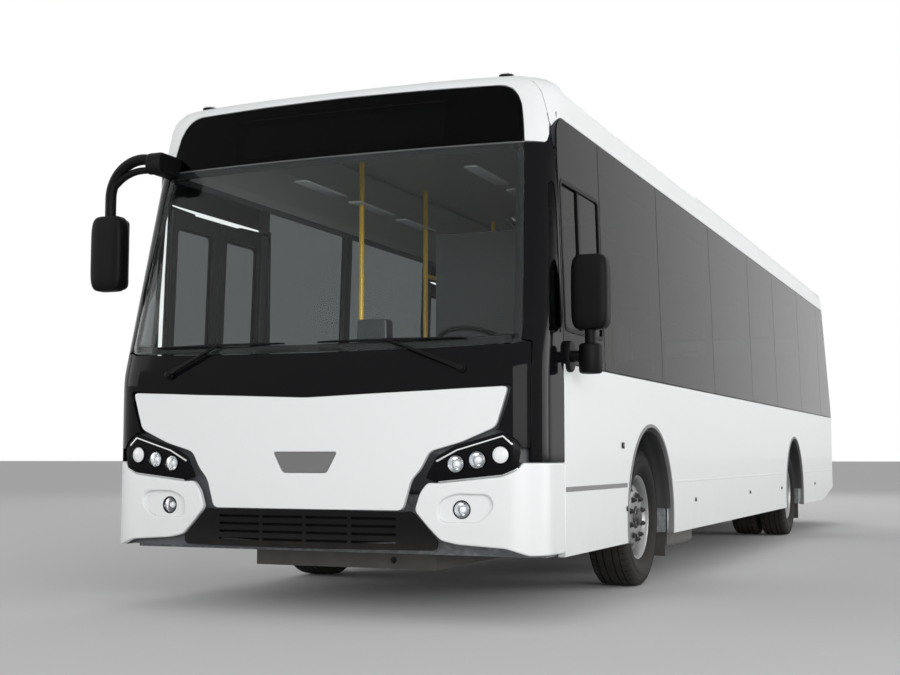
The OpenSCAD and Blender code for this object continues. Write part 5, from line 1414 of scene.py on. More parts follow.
            dress(panel(f"side_print_{label}_{count}", SIDE, edge, [inner], PRINT_LAYER, 0.0, 0.3,
                        mirror=kerb),
                  Finishes.PRINT)

    def clear_area(self, loop: Sequence[Pair], last: bool) -> Array:
        """Clear part of a pane inside its print, as parameters of the side."""
        y0, low, top = loop[0][0] + 0.045, loop[0][1] + 0.045, loop[-1][1] - 0.150
        y1 = loop[1][0] - 0.045
        if last:
            bend = REAR.break_z + 0.010
            area = [(y0, low), (y1, low), (y1, bend), (y1 - (top - bend) * math.tan(REAR.tilt), top),
                    (y0, top)]
        else:
            area = [(y0, low), (y1, low), (y1, top), (y0, top)]
        return densify(rounded_corners(on_side(area), 0.03), 0.2)

    def sliding_window(self, outline: Array) -> None:
        """Driver's window: black frame, fixed rear pane and sliding front pane."""
        loop = wound(outline, True)
        frame_hole = loop + mitres(loop) * 0.024
        dress(panel("driver_window_frame", SIDE, loop, [frame_hole], (-0.003, 0.022), 0.003, 0.08),
              Finishes.PLASTIC)
        low, high = loop.min(0) + 0.024, loop.max(0) - 0.024
        divider = -5.053
        bar = rounded_box(divider - 0.016, low[1] - 0.004, divider + 0.016, high[1] + 0.004, 0.004)
        dress(panel("driver_window_divider", SIDE, bar, [], (0.002, 0.018), 0.003, 0.1), Finishes.PLASTIC)
        for name, u0, u1, deep in (("front", low[0], divider, 0.012), ("rear", divider, high[0], 0.006)):
            pane = rounded_box(u0 - 0.004, low[1] - 0.004, u1 + 0.004, high[1] + 0.004, 0.03)
            dress(panel(f"driver_pane_{name}", SIDE, pane, [], (deep, deep + 0.004), 0.001, 0.2),
                  Finishes.TINTED)

    def trims(self, label: str, side: float) -> None:
        """Arch lips and the rub line along the skirts."""
        kerb = side < 0
        for name, y in (("front", FRONT_AXLE_Y), ("rear", REAR_AXLE_Y)):
            outer = [(y + (ARCH_R + 0.018) * math.cos(t), HUB_Z + (ARCH_R + 0.018) * math.sin(t))
                     for t in np.linspace(math.pi + 0.225, -0.225, 40)]
            inner = [(y + (ARCH_R - 0.004) * math.cos(t), HUB_Z + (ARCH_R - 0.004) * math.sin(t))
                     for t in np.linspace(-0.225, math.pi + 0.225, 40)]
            made = panel(f"arch_lip_{name}_{label}", SIDE, on_side(outer + inner), [], (-0.006, 0.030), 0.004,
                         0.05, mirror=kerb)
            dress(made, Finishes.LIP)
        runs = [(FRONT_AXLE_Y + ARCH_R + 0.02, REAR_AXLE_Y - ARCH_R - 0.02),
                (REAR_AXLE_Y + ARCH_R + 0.02, REAR_SEAM_Y - 0.02)]
        if kerb:
            runs = [(FRONT_AXLE_Y + ARCH_R + 0.02, -1.52), (-0.35, REAR_AXLE_Y - ARCH_R - 0.02), runs[1]]
        else:
            runs = [(FRONT_SEAM_Y + 0.01, FRONT_AXLE_Y - ARCH_R - 0.02)] + runs
        for count, (y0, y1) in enumerate(runs):
            high = 0.008 if count or kerb else 0.013
            bar = rounded_box(y0, SIDE.v_at(self.rub_z) - high, y1, SIDE.v_at(self.rub_z) + high, 0.006)
            dress(panel(f"rub_line_{label}_{count}", SIDE, bar, [], (-0.0035, 0.004), 0.003, 0.3,
                        mirror=kerb),
                  Finishes.WHITE if count or kerb else Finishes.LIP)


@dataclass
class RoofTop:
    """Roof skin between the two ends."""

    def build(self) -> None:
        """Builds the roof skin with the opening of its hatch."""
        top = GLASS_TOP_Z + 0.002
        front = CAP_END_Y + 0.001
        v0 = SIDE.v_at(top)
        v1 = 2 * SIDE.middle - v0
        steps = np.linspace(v0, v1, 41)
        heights = SIDE.surface(np.zeros(41), steps)[:, 2]
        rear = [(rear_seam_at(float(z)) - 0.004, float(v)) for z, v in zip(heights, steps)]
        outline = [(front, v0)] + rear + [(front, v1)]
        hatch_low, hatch_high = lows("roof_hatch"), highs("roof_hatch")
        half = float(hatch_high[0]) + 0.012
        hole = rounded_box(float(hatch_low[1]) - 0.012, SIDE.middle - half, float(hatch_high[1]) + 0.012,
                           SIDE.middle + half, 0.03)
        made = panel("roof_skin", SIDE, np.array(outline), [hole], (0.0, 0.012), 0.003, 0.12)
        dress(made, Finishes.WHITE, "chassis", ["roof"])


@dataclass
class RearEnd:
    """Rear panel and rear glass."""

    glass_half: Tuple[Pair, ...] = ((0.0, 1.44), (0.960, 1.44), (1.0, 1.48), (0.96, 2.33), (0.92, 2.37),
                                    (0.0, 2.37))
    lamp_z: Tuple[float, ...] = (0.720, 0.850, 0.980, 1.110)
    lamp_x: float = 1.130

    def build(self) -> None:
        """Builds the rear panel with its openings, and the glass."""
        low_z, brow = SKIRT_Z + 0.125, REAR.profile_marks[4]
        roof_v = brow + max(0.0,
                            REAR_Y - rear_seam_at(ROOF_Z) - float(REAR.profile(np.array(brow))[0])) - 0.002
        side = [(self.reach(float(v)), float(v)) for v in np.linspace(low_z, REAR.profile_marks[3], 24)]
        over = [(self.reach(float(v)), float(v)) for v in np.linspace(REAR.profile_marks[3] + 0.01, roof_v,
                                                                      14)]
        half = side + over
        outline = half + [(-s, v) for s, v in half[::-1]]
        glass = rounded_corners([REAR.point(x, z) for x, z in mirrored(self.glass_half)], 0.04)
        hatch = rounded_box(-0.756, REAR.v_at(0.464), 0.756, REAR.v_at(1.196), 0.03)
        holes = [glass, hatch]
        for z in self.lamp_z:
            for sign in (1, -1):
                s, v = REAR.point(self.lamp_x, z)
                holes.append(circle(sign * s, v, 0.053))
        made = panel("rear_skin", REAR, np.array(outline), holes, (0.0, 0.035), 0.004, 0.06)
        dress(made, Finishes.WHITE, "chassis", ["rear_panel"])
        pane = wound(glass, True) + mitres(wound(glass, True)) * 0.003
        dress(panel("rear_pane", REAR, pane, [], (0.0015, 0.0065), 0.0015, 0.12), Finishes.TINTED, "chassis",
              ["rear_glass"])
        inner = pane + mitres(pane) * 0.05
        dress(panel("rear_pane_print", REAR, pane, [inner], END_PRINT_LAYER, 0.0, 0.12), Finishes.PRINT)

    def reach(self, v: float) -> float:
        """Plan parameter of the seam with the sides at parameter v of the profile."""
        depth, height = REAR.profile(np.array(v))
        return REAR.reach(REAR_Y - rear_seam_at(float(height)) - 0.001 - float(depth))


# Wheels, mirrors, wipers and lamps


@dataclass
class Dish(Skin):
    """A turned face round the wheel's axle: distance outwards as a softened function of radius."""

    centre: Tuple[float, float, float]
    radii: Tuple[float, ...]
    heights: Tuple[float, ...]
    outward: float = 1.0

    def __post_init__(self) -> None:
        """Samples the height once, rounded over by a running mean."""
        self.table_r = np.linspace(0, max(self.radii), 300)
        raw = np.interp(self.table_r, self.radii, self.heights)
        self.table = np.convolve(np.pad(raw, 5, mode="edge"), np.ones(11) / 11, "valid")

    def surface(self, u: Array, v: Array) -> Array:
        """Point at sideways offset u and height v from the axle."""
        out = np.interp(np.hypot(u, v), self.table_r, self.table)
        return np.stack([out, u, v], -1) + np.array(self.centre)


def flipped(piece: bpy.types.Object) -> bpy.types.Object:
    """Mirrors a finished mesh from the driver's side to the kerb side."""
    piece.data.transform(Matrix.Scale(-1, 4, Vector((1, 0, 0))))
    piece.data.flip_normals()
    return piece


def on_circle(r: float, count: int, start: float = 0.0) -> Array:
    """Places on a circle, as offsets along y and z."""
    turn = start + 2 * math.pi * np.arange(count) / count
    return np.stack([r * np.sin(turn), r * np.cos(turn)], 1)


def islands(node: str) -> List[Array]:
    """Boxes of the separate solids of a CAD node, each as its low and high corner."""
    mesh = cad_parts[node].data
    co = np.empty(len(mesh.vertices) * 3)
    mesh.vertices.foreach_get("co", co)
    world = np.array(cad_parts[node].matrix_world)
    co = co.reshape(-1, 3) @ world[:3, :3].T + world[:3, 3]
    ends = np.empty(len(mesh.edges) * 2, int)
    mesh.edges.foreach_get("vertices", ends)
    ends = ends.reshape(-1, 2)
    keys = np.unique(np.round(co, 5), axis=0, return_inverse=True)[1].reshape(-1)
    label = np.arange(keys.max() + 1)
    a, b = keys[ends[:, 0]], keys[ends[:, 1]]
    while True:
        least = np.minimum(label[a], label[b])
        before = label.copy()
        np.minimum.at(label, a, least)
        np.minimum.at(label, b, least)
        label = label[label]
        if (label == before).all():
            break
    found = label[keys]
    return [np.stack([co[found == k].min(0), co[found == k].max(0)]) for k in np.unique(found)]


@dataclass
class Wheels:
    """Tyres with ribs and shoulder lugs, and rims with discs, nuts and hubs."""

    lugs: int = 52
    nut_r: float = 0.1375
    nuts: int = 10
    groove: float = 0.0095

    def build(self) -> None:
        """Builds the four wheels."""
        both(self.front)
        both(self.rear)

    def profile(self) -> Tuple[Array, Array]:
        """Half section of a tyre from bead to bead, and how far each point follows the lugs."""
        w = TYRE_W / 2
        side = [(RIM_R - 0.016, 0.082, 0), (RIM_R + 0.002, 0.088, 0), (RIM_R + 0.003, 0.103, 0),
                (RIM_R + 0.014, 0.113, 0), (RIM_R + 0.020, 0.1135, 0), (RIM_R + 0.024, 0.118, 0),
                (RIM_R + 0.050, w - 0.0065, 0), (TYRE_R - 0.100, w - 0.001, 0), (TYRE_R - 0.086, w, 0),
                (TYRE_R - 0.074, w - 0.0012, 0), (TYRE_R - 0.071, w - 0.0045, 0),
                (TYRE_R - 0.052, w - 0.0055, 0),
                (TYRE_R - 0.036, w - 0.0090, 0), (TYRE_R - 0.034, w - 0.0065, 0.5),
                (TYRE_R - 0.020, w - 0.0120, 1),
                (TYRE_R - 0.009, w - 0.0200, 1), (TYRE_R - 0.0045, w - 0.0300, 1), (TYRE_R - 0.003, 0.082, 1)]
        tread = []
        for middle, wide in ((0.073, 0.011), (0.029, 0.010)):
            tread += [(TYRE_R - 0.0020, middle + wide / 2, 0),
                      (TYRE_R - 0.0135, middle + wide / 2 - 0.002, 0),
                      (TYRE_R - 0.0135, middle - wide / 2 + 0.002, 0),
                      (TYRE_R - 0.0012, middle - wide / 2, 0)]
        half = side + tread
        full = half + [(r, -a, lug) for r, a, lug in half[::-1]]
        table = np.array(full)
        return table[:, :2], table[:, 2]

    def tyre(self, name: str, x: float, y: float, mirror: bool) -> bpy.types.Object:
        """Turns the section round the axle, and cuts the shoulder lugs by lowering some columns."""
        section, follows = self.profile()
        step = 2 * math.pi / self.lugs
        within = np.array([0.0, 0.62, 0.70, 0.92]) * step
        turn = (np.arange(self.lugs)[:, None] * step + within[None]).reshape(-1)
        low = np.tile([0.0, 0.0, 1.0, 1.0], self.lugs)
        r = section[None, :, 0] - low[:, None] * follows[None] * self.groove
        a = np.broadcast_to(section[None, :, 1], r.shape)
        points = np.stack([a, r * np.sin(turn)[:, None], r * np.cos(turn)[:, None]], -1).reshape(-1, 3)
        points = points + np.array([x, y, HUB_Z])
        made = lay_mesh(name, points, grid_faces(len(turn), len(section), True, True).tolist())
        fix_outside(made)
        sharpen(made, 32)
        return flipped(made) if mirror else made

    def barrel(self, name: str, x: float, y: float, mirror: bool) -> bpy.types.Object:
        """Rolled rim barrel with its two flanges."""
        out = [(RIM_R, 0.100), (RIM_R - 0.001, 0.0875), (RIM_R - 0.012, 0.0845), (RIM_R - 0.019, 0.080),
               (RIM_R - 0.029, 0.024), (RIM_R - 0.030, 0.010)]
        back = [(RIM_R - 0.040, 0.012), (RIM_R - 0.039, 0.026), (RIM_R - 0.027, 0.082),
                (RIM_R - 0.020, 0.089),
                (RIM_R - 0.013, 0.0965), (RIM_R - 0.008, 0.1005), (RIM_R - 0.003, 0.1015)]
        profile = out + [(r, -a) for r, a in out[::-1]] + [(r, -a) for r, a in back[::-1]] + back
        return revolve(name, profile, (x, y, HUB_Z), 96, mirror)

    def nut_ring(self, name: str, x: float, y: float, r: float, count: int, size: float, tall: float,
                 mirror: bool) -> bpy.types.Object:
        """Ring of flanged nuts on a face of the wheel at x."""
        turn = np.radians(np.arange(6) * 60)
        nut = prism("nut", np.stack([size * np.cos(turn), size * np.sin(turn)], 1), "x", 0.0, tall,
                    size * 0.12, 2)
        stud = revolve("stud", [(0.0008, tall - 0.002), (size * 0.52, tall - 0.002),
                                (size * 0.52, tall + size * 0.4),
                                (size * 0.44, tall + size * 0.5), (0.0008, tall + size * 0.5)], (0, 0, 0), 16)
        washer = revolve("washer", [(0.0008, -0.001), (size * 1.25, -0.001), (size * 1.25, size * 0.10),
                                    (size * 1.1, size * 0.24), (0.0008, size * 0.24)], (0, 0, 0), 24)
        one = join("one_nut", [nut, stud, washer])
        places = np.concatenate([np.full((count, 1), x), on_circle(r, count) + [y, HUB_Z]], 1)
        made = copies(one, places, name)
        return flipped(made) if mirror else made

    def front(self, label: str, side: float) -> None:
        """Front wheel: bulging disc with hand holes, nuts and hub cap."""
        body, mirror = f"wheel_front_{label}", side < 0
        place = (WHEEL_X, FRONT_AXLE_Y, HUB_Z)
        dress(self.tyre(f"tyre_front_{label}", place[0], place[1], mirror), Finishes.TYRE, body,
              [f"front_{label}_tyre"])
        dress(self.barrel(f"barrel_front_{label}", place[0], place[1], mirror), Finishes.WHEEL, body,
              [f"front_{label}_rim"])
        skin = Dish(place, (0.0, 0.165, 0.208, RIM_R - 0.034), (0.086, 0.086, 0.062, 0.006))
        holes = [circle(0, 0, 0.070, 48)]
        holes += [circle(u, v, 0.022, 24) for u, v in on_circle(0.196, self.nuts, math.pi / self.nuts)]
        disc = panel(f"disc_front_{label}", skin, circle(0, 0, RIM_R - 0.0345, 96), holes, (0.0, 0.013),
                     0.0035, 0.03, mirror=mirror)
        dress(disc, Finishes.WHEEL, body)
        hub = [(0.0008, 0.020), (0.0008, 0.1165), (0.030, 0.1160), (0.044, 0.1125), (0.050, 0.1060),
               (0.052, 0.0990), (0.062, 0.0975), (0.0665, 0.0935), (0.0685, 0.0860), (0.0685, 0.020)]
        dress(revolve(f"hub_front_{label}", hub, place, 64, mirror), Finishes.HUB, body)
        x = place[0] + 0.0865
        dress(self.nut_ring(f"nuts_front_{label}", x, place[1], self.nut_r, self.nuts, 0.0165, 0.020, mirror),
              Finishes.HUB, body)
        dress(self.nut_ring(f"cap_bolts_front_{label}", place[0] + 0.0965, place[1], 0.0585, 6, 0.0045, 0.004,
                            mirror),
              Finishes.NUT, body)

    def rear(self, label: str, side: float) -> None:
        """Rear twin wheels: deep dish, nuts and a driving hub with bolts round its cap."""
        body, mirror = f"wheels_rear_{label}", side < 0
        place = (WHEEL_X, REAR_AXLE_Y, HUB_Z)
        tyres = [self.tyre(f"tyre_rear_{label}_{count}", place[0] - count * TWIN_SPACING, place[1], mirror)
                 for count in (0, 1)]
        dress(tyres[0], Finishes.TYRE, body, [f"rear_{label}_tyres"])
        dress(tyres[1], Finishes.TYRE, body)
        barrels = [self.barrel(f"barrel_rear_{label}_{count}", place[0] - count * TWIN_SPACING, place[1],
                               mirror)
                   for count in (0, 1)]
        dress(barrels[0], Finishes.WHEEL, body, [f"rear_{label}_rims"])
        dress(barrels[1], Finishes.WHEEL, body)
        skin = Dish(place, (0.0, 0.160, 0.200, RIM_R - 0.034), (-0.130, -0.130, -0.110, -0.018))
        holes = [circle(0, 0, 0.104, 48)]
        holes += [circle(u, v, 0.020, 24) for u, v in on_circle(0.190, self.nuts, math.pi / self.nuts)]
        dress(panel(f"disc_rear_{label}", skin, circle(0, 0, RIM_R - 0.0345, 96), holes, (0.0, 0.013), 0.0035,
                    0.03, mirror=mirror), Finishes.WHEEL, body)
        inner = Dish(place, (0.0, 0.160, 0.200, RIM_R - 0.034), (-0.145, -0.145, -0.180, -0.272))
        dress(panel(f"disc_inner_{label}", inner, circle(0, 0, RIM_R - 0.0345, 96), [circle(0, 0, 0.106, 48)],
                    (0.0, 0.013), 0.003, 0.03, mirror=mirror), Finishes.WHEEL, body)
        hub = [(0.0008, -0.230), (0.0008, 0.0140), (0.052, 0.0140), (0.060, 0.0110), (0.062, 0.0050),
               (0.086, 0.0040),
               (0.093, 0.0000), (0.097, -0.0120), (0.099, -0.0500), (0.1035, -0.1200), (0.1035, -0.230)]
        dress(revolve(f"hub_rear_{label}", hub, place, 64, mirror), Finishes.HUB, body)
        dress(self.nut_ring(f"nuts_rear_{label}", place[0] - 0.1295, place[1], self.nut_r, self.nuts, 0.0165,
                            0.020, mirror), Finishes.NUT, body)
        dress(self.nut_ring(f"shaft_bolts_{label}", place[0] + 0.0040, place[1], 0.0735, 10, 0.0070, 0.006,
                            mirror),
              Finishes.NUT, body)


def pebble(name: str, centre: Sequence[float], half: Sequence[float], power: float, rows: int = 40,
           columns: int = 56) -> bpy.types.Object:
    """Rounded box: the powers of the three offsets over the half sizes add up to one on it."""
    polar = np.linspace(0, math.pi, rows + 2)[1:-1][:, None]
    turn = np.linspace(0, 2 * math.pi, columns, endpoint=False)[None]
    away = np.stack([np.sin(polar) * np.cos(turn), np.sin(polar) * np.sin(turn),
                     np.cos(polar) * np.ones_like(turn)], -1).reshape(-1, 3)
    away = np.concatenate([away, [[0, 0, 1], [0, 0, -1]]])
    half = np.array(half)
    scaled = away * half
    reach = np.sum(np.abs(scaled / half) ** power, axis=1) ** (-1 / power)
    points = scaled * reach[:, None] + np.array(centre)
    faces = grid_faces(rows, columns, False, True).tolist()
    top, low = len(points) - 2, len(points) - 1
    last = (rows - 1) * columns
    for k in range(columns):
        after = (k + 1) % columns
        faces.append([top, k, after])
        faces.append([low, last + after, last + k])
    made = lay_mesh(name, points, faces)
    mesh = made.data
    mesh.update()
    fix_faces(made)
    return made


def fix_faces(piece: bpy.types.Object) -> None:
    """Makes the faces of a closed mesh agree and look outwards."""
    work = bmesh.new()
    work.from_mesh(piece.data)
    bmesh.ops.recalc_face_normals(work, faces=work.faces)
    work.to_mesh(piece.data)
    work.free()


@dataclass
class Mirrors:
    """Kerb mirror on its arched arm and the driver's mirror on a short arm."""

    reach: float = HALF_W + 0.225
    kerb_y: float = FRONT_Y + 0.190
    kerb_z: float = 1.990
    cab_y: float = FRONT_Y + 0.540
    cab_z: float = 1.680

    def build(self) -> None:
        """Builds both mirrors."""
        self.kerb()
        self.driver()

    def head(self, label: str, x: float, y: float, z: float, w: float, h: float, mirror: bool) -> None:
        """Shell with a rim and the glass on its rear side."""
        turn = flipped if mirror else (lambda piece: piece)
        shell = pebble(f"mirror_shell_{label}", (x, y, z), (w / 2, 0.058, h / 2), 5.5)
        dress(turn(shell), Finishes.PLASTIC, "chassis", [f"{label}_mirror"])
        back = y + 0.052
        rim = rounded_box(x - w / 2 + 0.012, z - h / 2 + 0.014, x + w / 2 - 0.012, z + h / 2 - 0.014, 0.035)
        dress(turn(prism(f"mirror_rim_{label}", rim, "y", back - 0.012, back + 0.0085, 0.003)), Finishes.SEAL)
        for name, low, high in (("far", -h / 2 + 0.150, h / 2 - 0.024),
                                ("wide", -h / 2 + 0.024, -h / 2 + 0.138)):
            glass = rounded_box(x - w / 2 + 0.022, z + low, x + w / 2 - 0.022, z + high, 0.024)
            dress(turn(prism(f"mirror_glass_{name}_{label}", glass, "y", back + 0.006, back + 0.0105,
                             0.0012)),
                  Finishes.MIRROR)

    def kerb(self) -> None:
        """Kerb mirror, built at +x and mirrored over."""
        x, y = self.reach - 0.105, self.kerb_y
        self.head("right", x, y, self.kerb_z, 0.210, 0.440, True)
        cx, cz, r = self.reach - 0.105 + 0.031 - 0.245, self.kerb_z + 0.220 + 0.105, 0.214
        turn = np.radians(np.linspace(0, 97, 20))
        arc = np.stack([cx + r * np.cos(turn), np.full(20, y), cz + r * np.sin(turn)], 1)
        arc = np.concatenate([[[cx + r, y, cz - 0.150]], arc, [[cx - 0.075, y, cz + r - 0.010]]])
        dress(flipped(tube("mirror_arm_right", arc, 0.033, 20, flat=0.95)), Finishes.PLASTIC)
        strap = [[cx + r - 0.018, y, cz + 0.060], [cx + 0.128, y, cz + 0.118], [cx + 0.040, y, cz + 0.150],
                 [cx - 0.075, y, cz + r - 0.066]]
        dress(flipped(tube("mirror_strap_right", strap, 0.020, 16, bend=0.05)), Finishes.PLASTIC)
        ribs = []
        for k in range(7):
            at = 0.013 * k
            ribs += [(0.048 - 0.0006 * k, at), (0.0540 - 0.0006 * k, at + 0.004),
                     (0.0540 - 0.0006 * k, at + 0.008)]
        profile = [(0.001, 0.0)] + ribs + [(0.001, 0.0885)]
        sleeve = revolve("mirror_bellows_right", profile, (1.040, y, cz + r - 0.042), 40, sharp=60)
        dress(flipped(sleeve), Finishes.SEAL)
        foot = rounded_box(y - 0.048, 2.440, y + 0.300, 2.560, 0.045)
        dress(flipped(prism("mirror_foot_right", foot, "x", 1.034, 1.130, 0.014)), Finishes.PLASTIC)

    def driver(self) -> None:
        """Driver's mirror on its elbow."""
        x, y = self.reach - 0.100, self.cab_y
        self.head("left", x, y, self.cab_z, 0.200, 0.400, False)
        arm = [[HALF_W - 0.010, y, 1.345], [x - 0.004, y, 1.345], [x - 0.004, y, 1.520]]
        dress(tube("mirror_arm_left", arm, 0.030, 20, bend=0.045), Finishes.PLASTIC)
        boss = [(0.001, 0.0), (0.048, 0.0), (0.058, 0.006), (0.062, 0.018), (0.062, 0.140), (0.058, 0.152),
                (0.048, 0.158), (0.001, 0.158)]
        piece = revolve("mirror_boss_left", boss, (0, 0, 0), 40)
        piece.data.transform(Matrix.Translation((x - 0.004, y,
                                                 1.252)) @ Matrix.Rotation(-math.pi / 2, 4, "Y"))
        dress(piece, Finishes.PLASTIC)
        plate = rounded_box(y - 0.060, 1.262, y + 0.060, 1.428, 0.055)
        dress(prism("mirror_plate_left", plate, "x", HALF_W - 0.016, HALF_W + 0.022, 0.008), Finishes.PLASTIC)


@dataclass
class Wipers:
    """Two wipers that lie along the foot of the windscreen."""

    table: Tuple[Tuple[float, float, float], ...] = ((-0.860, -0.560, 1.412), (0.870, 0.470, 1.412))
    pivot_z: float = 1.262
    blade_half: float = 0.418

    def build(self) -> None:
        """Builds pivots, arms and blades."""
        for count, (pivot_x, blade_x, blade_z) in enumerate(self.table):
            start, end = FRONT.point(pivot_x, self.pivot_z), FRONT.point(blade_x, blade_z)
            run = np.array(end) - np.array(start)
            across = np.array([-run[1], run[0]]) / np.linalg.norm(run)
            base, tip = np.array(start), np.array(end)
            arm = [base - across * 0.012, tip - across * 0.006, tip + across * 0.006, base + across * 0.012]
            made = panel(f"wiper_arm_{count}", FRONT, np.array(arm), [], (-0.030, -0.019), 0.003, 0.08)
            dress(made, Finishes.PLASTIC, "chassis", ["wipers"] if count == 0 else ())
            beam = [(end[0] - self.blade_half * 0.94, end[1] + 0.003), (end[0], end[1] - 0.001),
                    (end[0] + self.blade_half * 0.94, end[1] + 0.003),
                    (end[0] + self.blade_half * 0.94, end[1] + 0.009),
                    (end[0], end[1] + 0.013), (end[0] - self.blade_half * 0.94, end[1] + 0.009)]
            dress(panel(f"wiper_beam_{count}", FRONT, np.array(beam), [], (-0.019, -0.010), 0.002, 0.08),
                  Finishes.PLASTIC)
            lip = rounded_box(end[0] - self.blade_half, end[1] + 0.003, end[0] + self.blade_half,
                              end[1] + 0.009, 0.002)
            dress(panel(f"wiper_lip_{count}", FRONT, lip, [], (-0.011, -0.0008), 0.001, 0.08), Finishes.SEAL)
            place, normal = FRONT.shell(np.array([start]), np.array([0.0]))
            cap = revolve(f"wiper_pivot_{count}", [(0.001, -0.004), (0.023, -0.004), (0.023, 0.012),
                                                   (0.018, 0.016),
                                                   (0.017, 0.033), (0.012, 0.036), (0.001, 0.037)],
                          (0, 0, 0), 32)
            dress(aimed(cap, place[0], normal[0]), Finishes.PLASTIC)


def aimed(piece: bpy.types.Object, place: Array, normal: Array) -> bpy.types.Object:
    """Turns a piece made round +X to a normal and carries it to a place."""
    turn = Vector((1, 0, 0)).rotation_difference(Vector(normal)).to_matrix().to_4x4()
    piece.data.transform(Matrix.Translation(Vector(place)) @ turn)
    return piece


@dataclass
class Lamps:
    """Round tail lamps and the small marker lamps."""

    tail: Tuple[Tuple[float, str], ...] = ((1.110, "red"), (0.980, "amber"), (0.850, "red"), (0.720, "clear"))
    tail_x: float = 1.130

    def build(self) -> None:
        """Builds the tail lamps and the markers."""
        both(self.tails)
        self.markers()

    def tails(self, label: str, side: float) -> None:
        """Column of round lamps, each a ringed bowl with a stepped lens."""
        kinds = {"red": Finishes.RED, "amber": Finishes.AMBER, "clear": Finishes.BULB}
        for count, (z, kind) in enumerate(self.tail):
            s, v = REAR.point(self.tail_x, z)
            place, normal = REAR.shell(np.array([[side * s, v]]), np.array([0.0]))
            ring = [(0.0445, -0.030), (0.0515, -0.030), (0.0525, 0.001), (0.0500, 0.004), (0.0465, 0.0045),
                    (0.0445, 0.002)]
            dress(aimed(revolve(f"tail_ring_{label}_{count}", ring, (0, 0, 0), 48), place[0], normal[0]),
                  Finishes.SEAL, "chassis", ["tail_lamps"] if count == 0 and side > 0 else ())
            steps = [(0.0008, -0.028), (0.0440, -0.028), (0.0440, 0.002), (0.0390, 0.0055), (0.0330, 0.0062),
                     (0.0320, 0.0050), (0.0210, 0.0066), (0.0200, 0.0054), (0.0100, 0.0066), (0.0008, 0.0067)]
            dress(aimed(revolve(f"tail_lens_{label}_{count}", steps, (0, 0, 0), 48), place[0], normal[0]),
                  kinds[kind])

    def markers(self) -> None:
        """Markers: a dark base with a rounded lens on each place of the CAD node, clear on the cap."""
        for count, (low, high) in enumerate(islands("marker_lamps")):
            middle, size = (low + high) / 2, high - low
            if abs(middle[2] - ROOF_Z) < 0.08:
                outline = rounded_box(low[0], low[1], high[0], high[1], min(size[0], size[1]) * 0.4)
                base = prism(f"marker_base_{count}", outline, "z", low[2], low[2] + size[2] * 0.45, 0.002)
                lens = pebble(f"marker_lens_{count}", (middle[0], middle[1], low[2] + size[2] * 0.45),
                              (size[0] * 0.44, size[1] * 0.40, size[2] * 0.55), 3.2, 16, 28)
            else:
                axis = 0 if abs(middle[0]) > HALF_W - 0.08 else 1
                others = (1, 2) if axis == 0 else (0, 2)
                outline = rounded_box(low[others[0]], low[2], high[others[0]], high[2], 0.006)
                base = prism(f"marker_base_{count}", outline, "xy"[axis], low[axis], high[axis], 0.0015)
                half = size * 0.42
                half[axis] = size[axis] * 0.5
                shift = np.zeros(3)
                shift[axis] = math.copysign(0.0025, middle[axis])
                lens = pebble(f"marker_lens_{count}", middle + shift, half, 4.0, 16, 28)
            dress(base, Finishes.SEAL, "chassis", ["marker_lamps"] if count == 0 else ())
            on_cap = middle[2] > CANTRAIL_Z and middle[1] < FRONT_SEAM_Y + 0.3
            low_side = middle[2] < WAIST_Z and middle[1] < REAR_SEAM_Y
            dress(lens, Finishes.BULB if on_cap else Finishes.SMOKE if low_side else Finishes.AMBER)


# Cabin, doors and chassis


